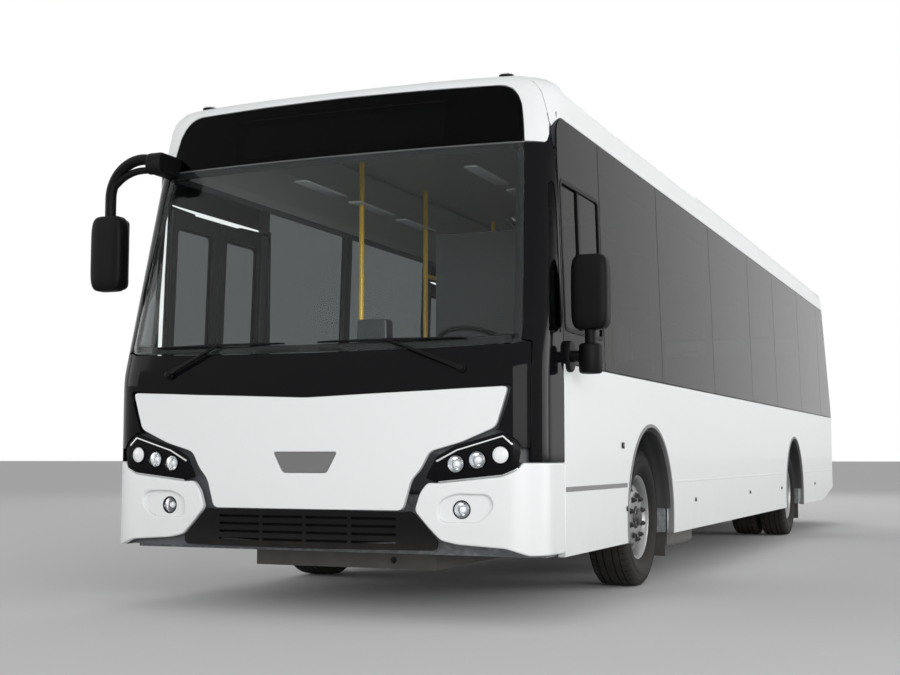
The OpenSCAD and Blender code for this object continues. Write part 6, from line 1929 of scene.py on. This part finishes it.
@dataclass
class Cushions:
    """Padded seat and back cushions: two shapes are inflated once and copied to every seat."""

    voxel: float = 0.012
    frames: int = 20

    def build(self) -> None:
        """Builds the cushions on all passenger seats and on the driver's seat."""
        solids = islands("seat_pads")
        seats = [box for box in solids if box[1][2] - box[0][2] < 0.12]
        backs = [box for box in solids if box[1][2] - box[0][2] >= 0.12]
        for name, boxes, lean in (("seat_cushions", seats, 0.020), ("back_cushions", backs, -0.128)):
            size = boxes[0][1] - boxes[0][0]
            one = self.cushion(name + "_shape", size, lean)
            places = np.array([(box[0] + box[1]) / 2 for box in boxes])
            made = copies(one, places, name)
            for polygon in made.data.polygons:
                polygon.use_smooth = True
            dress(made, Finishes.FABRIC, "chassis", ["seat_pads"] if name == "seat_cushions" else ())

    def cushion(self, name: str, size: Array, lean: float) -> bpy.types.Object:
        """Plump pad that fits a box, leaning as the seat or the back does."""
        flat = size.copy()
        tall = size[2] > size[1] * 1.5
        if tall:
            flat[1] = 0.034
        else:
            flat[2] = 0.036
        made = pebble(name, (0, 0, 0), flat / 2, 5.0, 24, 32)
        made = self.inflated(made, flat)
        mesh = made.data
        co = np.empty(len(mesh.vertices) * 3)
        mesh.vertices.foreach_get("co", co)
        co = co.reshape(-1, 3)
        if tall:
            co[:, 1] += co[:, 2] * math.tan(-lean) + 0.004
            co[:, 1] += -0.006 * np.cos(co[:, 0] / flat[0] * math.pi) * (1 - (2 * co[:, 2] / flat[2]) ** 2)
        else:
            co[:, 2] -= co[:, 1] * math.tan(lean) * 1.6 + 0.004
        mesh.vertices.foreach_set("co", co.reshape(-1))
        mesh.update()
        return made

    def inflated(self, start: bpy.types.Object, flat: Array) -> bpy.types.Object:
        """Runs the cloth with pressure over a few frames and keeps the shape within its box."""
        remesh = start.modifiers.new("remesh", "REMESH")
        remesh.mode = "VOXEL"
        remesh.voxel_size = self.voxel
        cloth = start.modifiers.new("cloth", "CLOTH")
        cloth.settings.use_pressure = True
        cloth.settings.uniform_pressure_force = 4.0
        cloth.settings.effector_weights.gravity = 0.0
        cloth.settings.tension_stiffness = 12.0
        cloth.settings.bending_stiffness = 0.8
        cloth.point_cache.frame_end = self.frames
        bpy.context.view_layer.update()
        for frame_number in range(1, self.frames + 1):
            bpy.context.scene.frame_set(frame_number)
        depsgraph = bpy.context.evaluated_depsgraph_get()
        shape = start.evaluated_get(depsgraph)
        result = shape.to_mesh()
        co = np.empty(len(result.vertices) * 3)
        result.vertices.foreach_get("co", co)
        co = co.reshape(-1, 3)
        faces = [list(polygon.vertices) for polygon in result.polygons]
        shape.to_mesh_clear()
        bpy.context.scene.frame_set(1)
        reach = np.abs(co).max(0)
        limit = flat / 2 + 0.003
        co = co * np.minimum(1.0, limit / reach)
        name = start.name
        bpy.data.objects.remove(start)
        return lay_mesh(name, co, faces)


@dataclass
class Cabin:
    """Liners, pillars, dashboard pieces, steering wheel, seat handles and stop buttons."""

    wheel_centre: Tuple[float, float, float] = (0.660, FRONT_Y + 0.760, 1.420)
    wheel_tilt: float = 28.0
    left_seams: Tuple[float, ...] = (-4.641, -3.259, -1.560, 0.111, 1.466, 3.102, 4.680)

    def build(self) -> None:
        """Builds the pieces that show through the glass."""
        both(self.liners)
        self.steering_wheel()
        self.instruments()
        self.seat_handles()
        self.stop_buttons()
        for node, finish in (("ceiling", Finishes.LINER), ("dashboard", Finishes.CAB),
                             ("driver_partition", Finishes.CAB_DARK), ("seat_frames", Finishes.SEAT_SHELL),
                             ("handrails", Finishes.YELLOW), ("floor", Finishes.FLOOR)):
            paint(node, finish)
        self.ceiling_strips()

    def liners(self, label: str, side: float) -> None:
        """Inner lining under the windows, rail above them and pillars between them."""
        kerb = side < 0
        sill, head, top = SIDE.v_at(WAIST_Z + 0.05), SIDE.v_at(2.47), SIDE.v_at(2.66)
        runs = [(FRONT_SEAM_Y + 0.05, REAR_SEAM_Y - 0.42)]
        lower = runs
        if kerb:
            lower = [(-4.22, -1.51), (-0.36, REAR_SEAM_Y - 0.42)]
        for count, (y0, y1) in enumerate(lower):
            dress(panel(f"wall_liner_{label}_{count}", SIDE,
                        rounded_box(y0, SIDE.v_at(1.06), y1, sill, 0.01), [],
                        (0.0415, 0.0495), 0.002, 0.4, mirror=kerb), Finishes.LINER)
        y0, y1 = runs[0]
        dress(panel(f"window_header_{label}", SIDE, rounded_box(y0, head, y1 - 0.25, top, 0.01), [],
                    (0.0125, 0.0470), 0.003, 0.4, mirror=kerb), Finishes.CAB)
        for count, y in enumerate(RIGHT_SEAMS if kerb else self.left_seams):
            dress(panel(f"window_pillar_{label}_{count}", SIDE,
                        rounded_box(y - 0.045, sill, y + 0.045, head, 0.01), [],
                        (0.0125, 0.0470), 0.004, 0.4, mirror=kerb), Finishes.CAB_DARK)

    def ceiling_strips(self) -> None:
        """Light strips and air ducts along the ceiling."""
        z = float(lows("ceiling")[2])
        for label, side in (("left", 1), ("right", -1)):
            outline = [(0.66, 2.740), (0.86, 2.700), (1.10, 2.640), (1.14, 2.660), (1.13, 2.700),
                       (0.90, 2.770), (0.68, 2.775)]
            duct = prism(f"air_duct_{label}", np.array([(side * x, h) for x, h in outline]), "y",
                         FRONT_SEAM_Y + 0.30, REAR_SEAM_Y - 0.80, 0.010)
            dress(duct, Finishes.LINER)
            spots = []
            for k in range(13):
                y = FRONT_SEAM_Y + 0.75 + 0.74 * k
                spots.append((side * 0.56, y, z - 0.005))
            one = prism("lamp", rounded_box(-0.045, -0.28, 0.045, 0.28, 0.02), "z", 0.0, 0.010, 0.003)
            one = join("one_lamp", [one])
            dress(copies(one, np.array(spots) - [0, 0, 0.004], f"ceiling_lights_{label}"), Finishes.BULB)

    def steering_wheel(self) -> None:
        """Rim, spokes and hub pad on the tilted column."""
        tilt = Matrix.Rotation(math.radians(-self.wheel_tilt), 4, "X")
        tilt = Matrix.Translation(Vector(self.wheel_centre)) @ tilt
        upright = Matrix.Rotation(-math.pi / 2, 4, "Y")
        turn = np.linspace(0, 2 * math.pi, 18, endpoint=False)
        rim = np.stack([0.212 + 0.0155 * np.cos(turn), 0.0135 * np.sin(turn)], 1)
        wheel = revolve("steering_rim", rim, (0, 0, 0), 72, sharp=80)
        hub = revolve("steering_hub", [(0.0008, -0.018), (0.050, -0.018), (0.060, -0.012), (0.064, 0.000),
                                       (0.058, 0.009), (0.040, 0.013), (0.0008, 0.0135)], (0, 0, 0), 48)
        for piece, finish, nodes in ((wheel, Finishes.PLASTIC, ["steering_wheel"]),
                                     (hub, Finishes.CAB_DARK, [])):
            piece.data.transform(tilt @ upright)
            dress(piece, finish, "steering", nodes)
        spokes = []
        for turn_deg in (90, 210, 330):
            angle = math.radians(turn_deg)
            along, across = np.array([math.cos(angle),
                                      math.sin(angle)]), np.array([-math.sin(angle), math.cos(angle)])
            outline = [along * 0.045 + across * 0.026, along * 0.120 + across * 0.013,
                       along * 0.205 + across * 0.017,
                       along * 0.205 - across * 0.017, along * 0.120 - across * 0.013,
                       along * 0.045 - across * 0.026]
            spokes.append(prism("spoke", np.array(outline), "z", -0.008, 0.004, 0.004))
        made = join("steering_spokes", spokes)
        made.data.transform(tilt)
        dress(made, Finishes.PLASTIC, "steering")

    def instruments(self) -> None:
        """Hood with two dials and a screen, switch rows and the ticket reader."""
        y = FRONT_Y
        hood = [(y + 0.320, 1.330), (y + 0.350, 1.415), (y + 0.470, 1.452), (y + 0.548, 1.446),
                (y + 0.566, 1.432),
                (y + 0.545, 1.424), (y + 0.520, 1.330), (y + 0.572, 1.297), (y + 0.430, 1.300)]
        dress(prism("instrument_hood", np.array(hood), "x", 0.440, 0.880, 0.008), Finishes.CAB_DARK)
        normal = np.array([0.0, 0.93, 0.36])
        for count, x in enumerate((0.555, 0.765)):
            place = np.array([x, y + 0.543, 1.378])
            ring = [(0.047, -0.006), (0.052, -0.006), (0.0525, 0.004), (0.050, 0.006), (0.047, 0.002)]
            dress(aimed(revolve(f"dial_ring_{count}", ring, (0, 0, 0), 40), place, normal), Finishes.CHROME)
            face = [(0.0008, -0.004), (0.0475, -0.004), (0.0475, 0.0), (0.0008, 0.0004)]
            dress(aimed(revolve(f"dial_face_{count}", face, (0, 0, 0), 40), place, normal), Finishes.SCREEN)
            needle = prism("needle", np.array([(-0.002, -0.008), (0.002, -0.008), (0.0008, 0.038),
                                               (-0.0008, 0.038)]), "x",
                           0.0006, 0.0020)
            needle.name = f"dial_needle_{count}"
            dress(aimed(needle, place, normal), Finishes.AMBER)
        dress(prism("driver_screen", rounded_box(0.610, 1.345, 0.710, 1.405, 0.008), "y", y + 0.538,
                    y + 0.549, 0.002),
              Finishes.SCREEN)
        keys = prism("key", rounded_box(-0.011, -0.008, 0.011, 0.008, 0.003), "z", 0.0, 0.006, 0.0015)
        columns = [*np.arange(0.240, 0.430, 0.030), *np.arange(0.910, 1.080, 0.030)]
        places = [(x, y + 0.430 + 0.030 * row, 1.3245 - 0.0055 * row) for x in columns for row in range(3)]
        dress(copies(join("one_key", [keys]), np.array(places), "switch_rows"), Finishes.SEAL)
        reader = rounded_box(0.150, 1.330, 0.330, 1.560, 0.020)
        dress(prism("ticket_reader", reader, "y", y + 0.300, y + 0.390, 0.012), Finishes.CAB_DARK)
        dress(prism("ticket_screen", rounded_box(0.168, 1.420, 0.312, 1.542, 0.006), "y", y + 0.388,
                    y + 0.3935, 0.001),
              Finishes.SCREEN)

    def seat_handles(self) -> None:
        """Curved grab handle on the aisle corner of every seat back."""
        backs = [box for box in islands("seat_pads") if box[1][2] - box[0][2] >= 0.12]
        path = np.array([[-0.09, 0.004, -0.030], [-0.09, 0.018, 0.020], [-0.080, 0.022, 0.058],
                         [0.080, 0.022, 0.058], [0.09, 0.018, 0.020], [0.09, 0.004, -0.030]])
        one = tube("one_handle", path, 0.0105, 8, bend=0.025)
        places = [((b[0][0] + b[1][0]) / 2, b[1][1] + 0.020, b[1][2] + 0.026) for b in backs
                  if abs((b[0][0] + b[1][0]) / 2) < 0.62 and b[0][1] > FRONT_Y + 1.8]
        dress(copies(one, np.array(places), "seat_handles"), Finishes.PLASTIC)

    def stop_buttons(self) -> None:
        """Stop button boxes on the poles."""
        poles = [box for box in islands("handrails") if box[1][2] - box[0][2] > 1.0]
        shell = prism("shell", rounded_box(-0.030, -0.055, 0.030, 0.055, 0.02), "y", -0.030, 0.030, 0.007)
        case = join("one_case", [shell])
        knob = revolve("one_knob", [(0.0008, 0.0), (0.017, 0.0), (0.0175, 0.006), (0.012, 0.010),
                                    (0.0008, 0.011)],
                       (0, 0, 0), 20)
        knob.data.transform(Matrix.Rotation(math.radians(-90), 4, "Z"))
        middles = [(b[0] + b[1]) / 2 for b in poles if b[1][0] - b[0][0] < 0.2 and b[1][1] - b[0][1] < 0.2]
        if not middles:
            middles = [np.array([x, y, 1.0]) for x, y in ((0.56, -3.01), (-0.56, -3.01), (-0.56, -1.59))]
        places = np.array([(m[0], m[1], 1.46 if m[1] < 0 else 2.02) for m in middles])
        dress(copies(case, places, "stop_button_cases"), Finishes.YELLOW)
        dress(copies(knob, places + [0, -0.030, 0.012], "stop_buttons"), Finishes.RED)


@dataclass
class Doors:
    """Finish, seals and edge rubbers of the four gliding leaves."""

    def build(self) -> None:
        """Dresses every leaf and its post."""
        for door in ("front", "middle"):
            for leaf in ("a", "b"):
                self.leaf(door, leaf)
                paint(f"{door}_door_leaf_{leaf}", Finishes.PRINT)
                paint(f"{door}_door_pane_{leaf}", Finishes.TINTED)
                paint(f"{door}_door_post_{leaf}", Finishes.PLASTIC)

    def leaf(self, door: str, leaf: str) -> None:
        """Window seal, edge rubbers and kick strip of one leaf."""
        body = f"{door}_leaf_{leaf}"
        slab_low, slab_high = lows(f"{door}_door_leaf_{leaf}"), highs(f"{door}_door_leaf_{leaf}")
        low, high = lows(f"{door}_door_pane_{leaf}"), highs(f"{door}_door_pane_{leaf}")
        outer = rounded_box(low[1] + 0.001, SIDE.v_at(low[2] + 0.001), high[1] - 0.001,
                            SIDE.v_at(high[2] - 0.001), 0.044)
        inner = wound(outer, True) + mitres(wound(outer, True)) * 0.013
        dress(panel(f"{door}_pane_seal_{leaf}", SIDE, outer, [inner], (0.0035, 0.0135), 0.003, 0.1,
                    mirror=True),
              Finishes.SEAL, body)
        for count, y in enumerate((slab_low[1], slab_high[1])):
            edge = 0.014 if count == 0 else -0.014
            strip = rounded_box(min(y, y + edge), SIDE.v_at(slab_low[2] + 0.02), max(y, y + edge),
                                SIDE.v_at(slab_high[2] - 0.02), 0.004)
            dress(panel(f"{door}_edge_rubber_{leaf}_{count}", SIDE, strip, [], (0.0022, 0.0060), 0.0020, 0.2,
                        mirror=True),
                  Finishes.SEAL, body)
        kick = rounded_box(slab_low[1] + 0.040, SIDE.v_at(slab_low[2] + 0.018), slab_high[1] - 0.040,
                           SIDE.v_at(slab_low[2] + 0.060), 0.006)
        dress(panel(f"{door}_kick_strip_{leaf}", SIDE, kick, [], (0.0022, 0.0060), 0.002, 0.2, mirror=True),
              Finishes.PLASTIC, body)


@dataclass
class Chassis:
    """Wheel wells, air bags, pipes and the finish of the carried-over running gear."""

    well_r: float = 0.551

    def build(self) -> None:
        """Builds the wells and small parts, and paints the rest."""
        both(self.wells)
        both(self.springs)
        self.pipes()
        for node, finish in (("underframe", Finishes.FRAME), ("front_axle", Finishes.CAST),
                             ("rear_axle", Finishes.CAST), ("left_knuckle", Finishes.CAST),
                             ("right_knuckle", Finishes.CAST), ("engine", Finishes.CAST),
                             ("tanks", Finishes.FRAME), ("mudflaps", Finishes.FLAP)):
            paint(node, finish)

    def wells(self, label: str, side: float) -> None:
        """Dark ribbed liner in each wheel arch, bent round the wheel."""
        for name, y, inner_x in (("front", FRONT_AXLE_Y, 0.640), ("rear", REAR_AXLE_Y, 0.640)):
            turn = np.linspace(math.radians(4), math.radians(176), 60)
            across = np.linspace(inner_x, HALF_W - 0.012, 40)
            ribs = 0.0018 * np.cos(across * 2 * math.pi / 0.075)
            layers = []
            for r in (self.well_r, self.well_r + 0.0035):
                reach = r + ribs[None, :]
                layers.append(np.stack([np.broadcast_to(across[None], (60, 40)),
                                        y + reach * np.cos(turn)[:, None],
                                        HUB_Z + reach * np.sin(turn)[:, None]], -1))
            loop = np.concatenate([layers[0], layers[1][:, ::-1]], 1)
            faces = grid_faces(60, 80, False, True).tolist()
            faces.append(list(range(80)))
            faces.append(list(range(59 * 80 + 79, 59 * 80 - 1, -1)))
            made = lay_mesh(f"wheel_well_{name}_{label}", loop.reshape(-1, 3), faces)
            fix_faces(made)
            sharpen(made, 50)
            dress(flipped(made) if side < 0 else made, Finishes.WELL)

    def springs(self, label: str, side: float) -> None:
        """Air springs beside the axles."""
        bag = [(0.001, 0.0), (0.060, 0.0), (0.085, 0.010), (0.098, 0.030), (0.092, 0.052), (0.084, 0.060),
               (0.092, 0.068), (0.100, 0.090), (0.094, 0.115), (0.070, 0.126), (0.001, 0.126)]
        for name, x, y, z in (("front", 0.470, FRONT_AXLE_Y + 0.02, 0.200),
                              ("rear", 0.440, REAR_AXLE_Y + 0.32, 0.400)):
            piece = revolve(f"air_spring_{name}_{label}", bag, (0, 0, 0), 40, sharp=60)
            piece.data.transform(Matrix.Translation((x, y, z)) @ Matrix.Rotation(-math.pi / 2, 4, "Y"))
            dress(flipped(piece) if side < 0 else piece, Finishes.SEAL)

    def pipes(self) -> None:
        """Air and cooling pipes along the underframe."""
        low = float(lows("underframe")[2])
        for count, (x, r) in enumerate(((0.335, 0.009), (0.360, 0.009), (-0.350, 0.016), (-0.392, 0.016))):
            path = [[x, FRONT_AXLE_Y + 0.60, low + 0.060], [x, FRONT_AXLE_Y + 1.2, low + 0.036],
                    [x, REAR_AXLE_Y - 1.6, low + 0.036], [x * 1.05, REAR_AXLE_Y - 0.8, low + 0.060]]
            dress(tube(f"chassis_pipe_{count}", path, r, 12, bend=0.12), Finishes.CAST)


@dataclass
class Hatches:
    """Engine hatch and roof hatch, with the engine hatch's catches and number plate panel."""

    def build(self) -> None:
        """Paints the hatches and adds their small parts."""
        paint("engine_hatch", Finishes.WHITE)
        paint("roof_hatch", Finishes.WHITE)
        low, high = lows("engine_hatch"), highs("engine_hatch")
        for count, x in enumerate((low[0] + 0.10, high[0] - 0.10)):
            place, normal = REAR.shell(np.array([REAR.point(abs(x), low[2] + 0.075)])
                                       * [math.copysign(1, x), 1], np.array([0.0]))
            lock = [(0.0008, -0.002), (0.019, -0.002), (0.0195, 0.002), (0.017, 0.0035), (0.0085, 0.0035),
                    (0.0080, 0.0010), (0.0008, 0.0010)]
            dress(aimed(revolve(f"hatch_lock_{count}", lock, (0, 0, 0), 32), place[0], normal[0]),
                  Finishes.PLASTIC, "rear_hatch")
        plate = rounded_box(-0.262, REAR.v_at(0.545), 0.262, REAR.v_at(0.660), 0.008)
        dress(panel("number_plate_panel", REAR, plate, [], (-0.004, -0.0005), 0.0015, 0.1), Finishes.LINER,
              "rear_hatch")


class Studio:
    """Floor, light and camera."""

    PLACE = (3.436407, -12.186338, 0.825421)
    YAW = -0.392763
    PITCH = 0.086368
    ROLL = 0.000583
    LENS = 54.549
    SENSOR = 36.0
    FLOOR_REACH = 400.0
    HORIZON_LIGHT = 0.86
    ZENITH_LIGHT = 0.22
    LAMPS = (
        ("key_light", (8.0, -15.0, 3.4), (0, -3.0, 1.2), (9.0, 5.0), 820.0),
        ("side_light", (13.0, 3.0, 2.8), (0, 2.0, 1.2), (9.0, 4.0), 520.0),
        ("fill_light", (-12.0, -9.0, 4.6), (0, -2.0, 1.2), (9.0, 5.0), 300.0),
        ("rear_light", (-5.0, 15.0, 8.0), (0, 4.0, 1.0), (8.0, 5.0), 350.0),
    )

    def build(self) -> None:
        """Builds the stage."""
        self.floor()
        self.lights()
        self.camera()

    def floor(self) -> None:
        """Lays a wide pale floor."""
        corners = np.array([[-1, -1, 0], [1, -1, 0], [1, 1, 0], [-1, 1, 0]]) * self.FLOOR_REACH
        ground = lay_mesh("studio_floor", corners, [[0, 1, 2, 3]])
        made = bpy.data.materials.new("pale_floor")
        made.use_nodes = True
        shader = made.node_tree.nodes["Principled BSDF"]
        shader.inputs["Base Color"].default_value = (0.66, 0.66, 0.66, 1)
        shader.inputs["Roughness"].default_value = 0.85
        ground.data.materials.append(made)

    def area(self, name: str, place: Sequence[float], aim: Sequence[float], size: Pair, power: float) -> None:
        """Adds one soft area light turned towards aim."""
        lamp = bpy.data.lights.new(name, "AREA")
        lamp.shape = "RECTANGLE"
        lamp.size, lamp.size_y = size
        lamp.energy = power
        piece = bpy.data.objects.new(name, lamp)
        piece.location = place
        direction = Vector(aim) - Vector(place)
        piece.rotation_euler = direction.to_track_quat("-Z", "Y").to_euler()
        bpy.context.scene.collection.objects.link(piece)

    def lights(self) -> None:
        """Sets the soft studio light and the white surround."""
        for lamp in self.LAMPS:
            self.area(*lamp)
        world = bpy.data.worlds.new("surround")
        bpy.context.scene.world = world
        world.use_nodes = True
        nodes, links = world.node_tree.nodes, world.node_tree.links
        back = nodes["Background"]
        path, seen, most = add(nodes, "LightPath"), add(nodes, "Math"), add(nodes, "Math")
        seen.operation = most.operation = "MAXIMUM"
        links.new(path.outputs["Is Camera Ray"], seen.inputs[0])
        links.new(path.outputs["Is Glossy Ray"], seen.inputs[1])
        links.new(seen.outputs[0], most.inputs[0])
        links.new(path.outputs["Is Transmission Ray"], most.inputs[1])
        # the light from above is weaker than the light from the horizon
        heading, parts = add(nodes, "TexCoord"), add(nodes, "SeparateXYZ")
        links.new(heading.outputs["Generated"], parts.inputs[0])
        falloff = add(nodes, "MapRange", To_Min=self.HORIZON_LIGHT, To_Max=self.ZENITH_LIGHT)
        links.new(parts.outputs["Z"], falloff.inputs["Value"])
        strength = add(nodes, "MapRange", To_Max=1.0)
        links.new(falloff.outputs["Result"], strength.inputs["To Min"])
        links.new(most.outputs[0], strength.inputs["Value"])
        links.new(strength.outputs["Result"], back.inputs["Strength"])
        back.inputs["Color"].default_value = (1, 1, 1, 1)

    def camera(self) -> None:
        """Places the camera as the photograph was taken."""
        data = bpy.data.cameras.new("camera")
        data.lens = self.LENS
        data.sensor_width = self.SENSOR
        data.clip_end = 200.0
        piece = bpy.data.objects.new("camera", data)
        ahead = Vector((math.sin(self.YAW) * math.cos(self.PITCH), math.cos(self.YAW) * math.cos(self.PITCH),
                        math.sin(self.PITCH)))
        right = Vector((math.cos(self.YAW), -math.sin(self.YAW), 0.0))
        up = right.cross(ahead)
        rolled = right * math.cos(self.ROLL) + up * math.sin(self.ROLL)
        over = rolled.cross(ahead)
        turn = Matrix((rolled, over, -ahead)).transposed().to_4x4()
        piece.matrix_world = Matrix.Translation(Vector(self.PLACE)) @ turn
        bpy.context.scene.collection.objects.link(piece)
        bpy.context.scene.camera = piece


def main() -> None:
    """Builds the dressed bus, piece by piece."""
    logging.basicConfig(level=logging.INFO)
    for step in STEPS:
        LOG.info("building %s", type(step).__name__)
        step.build()
    bpy.context.scene.view_settings.view_transform = "Standard"


STEPS = [FrontEnd(), Sides(), RoofTop(), RearEnd(), Wheels(), Mirrors(), Wipers(),
         Lamps(), Cushions(), Cabin(), Doors(), Chassis(), Hatches(), Studio()]


if __name__ == "__main__":
    main()
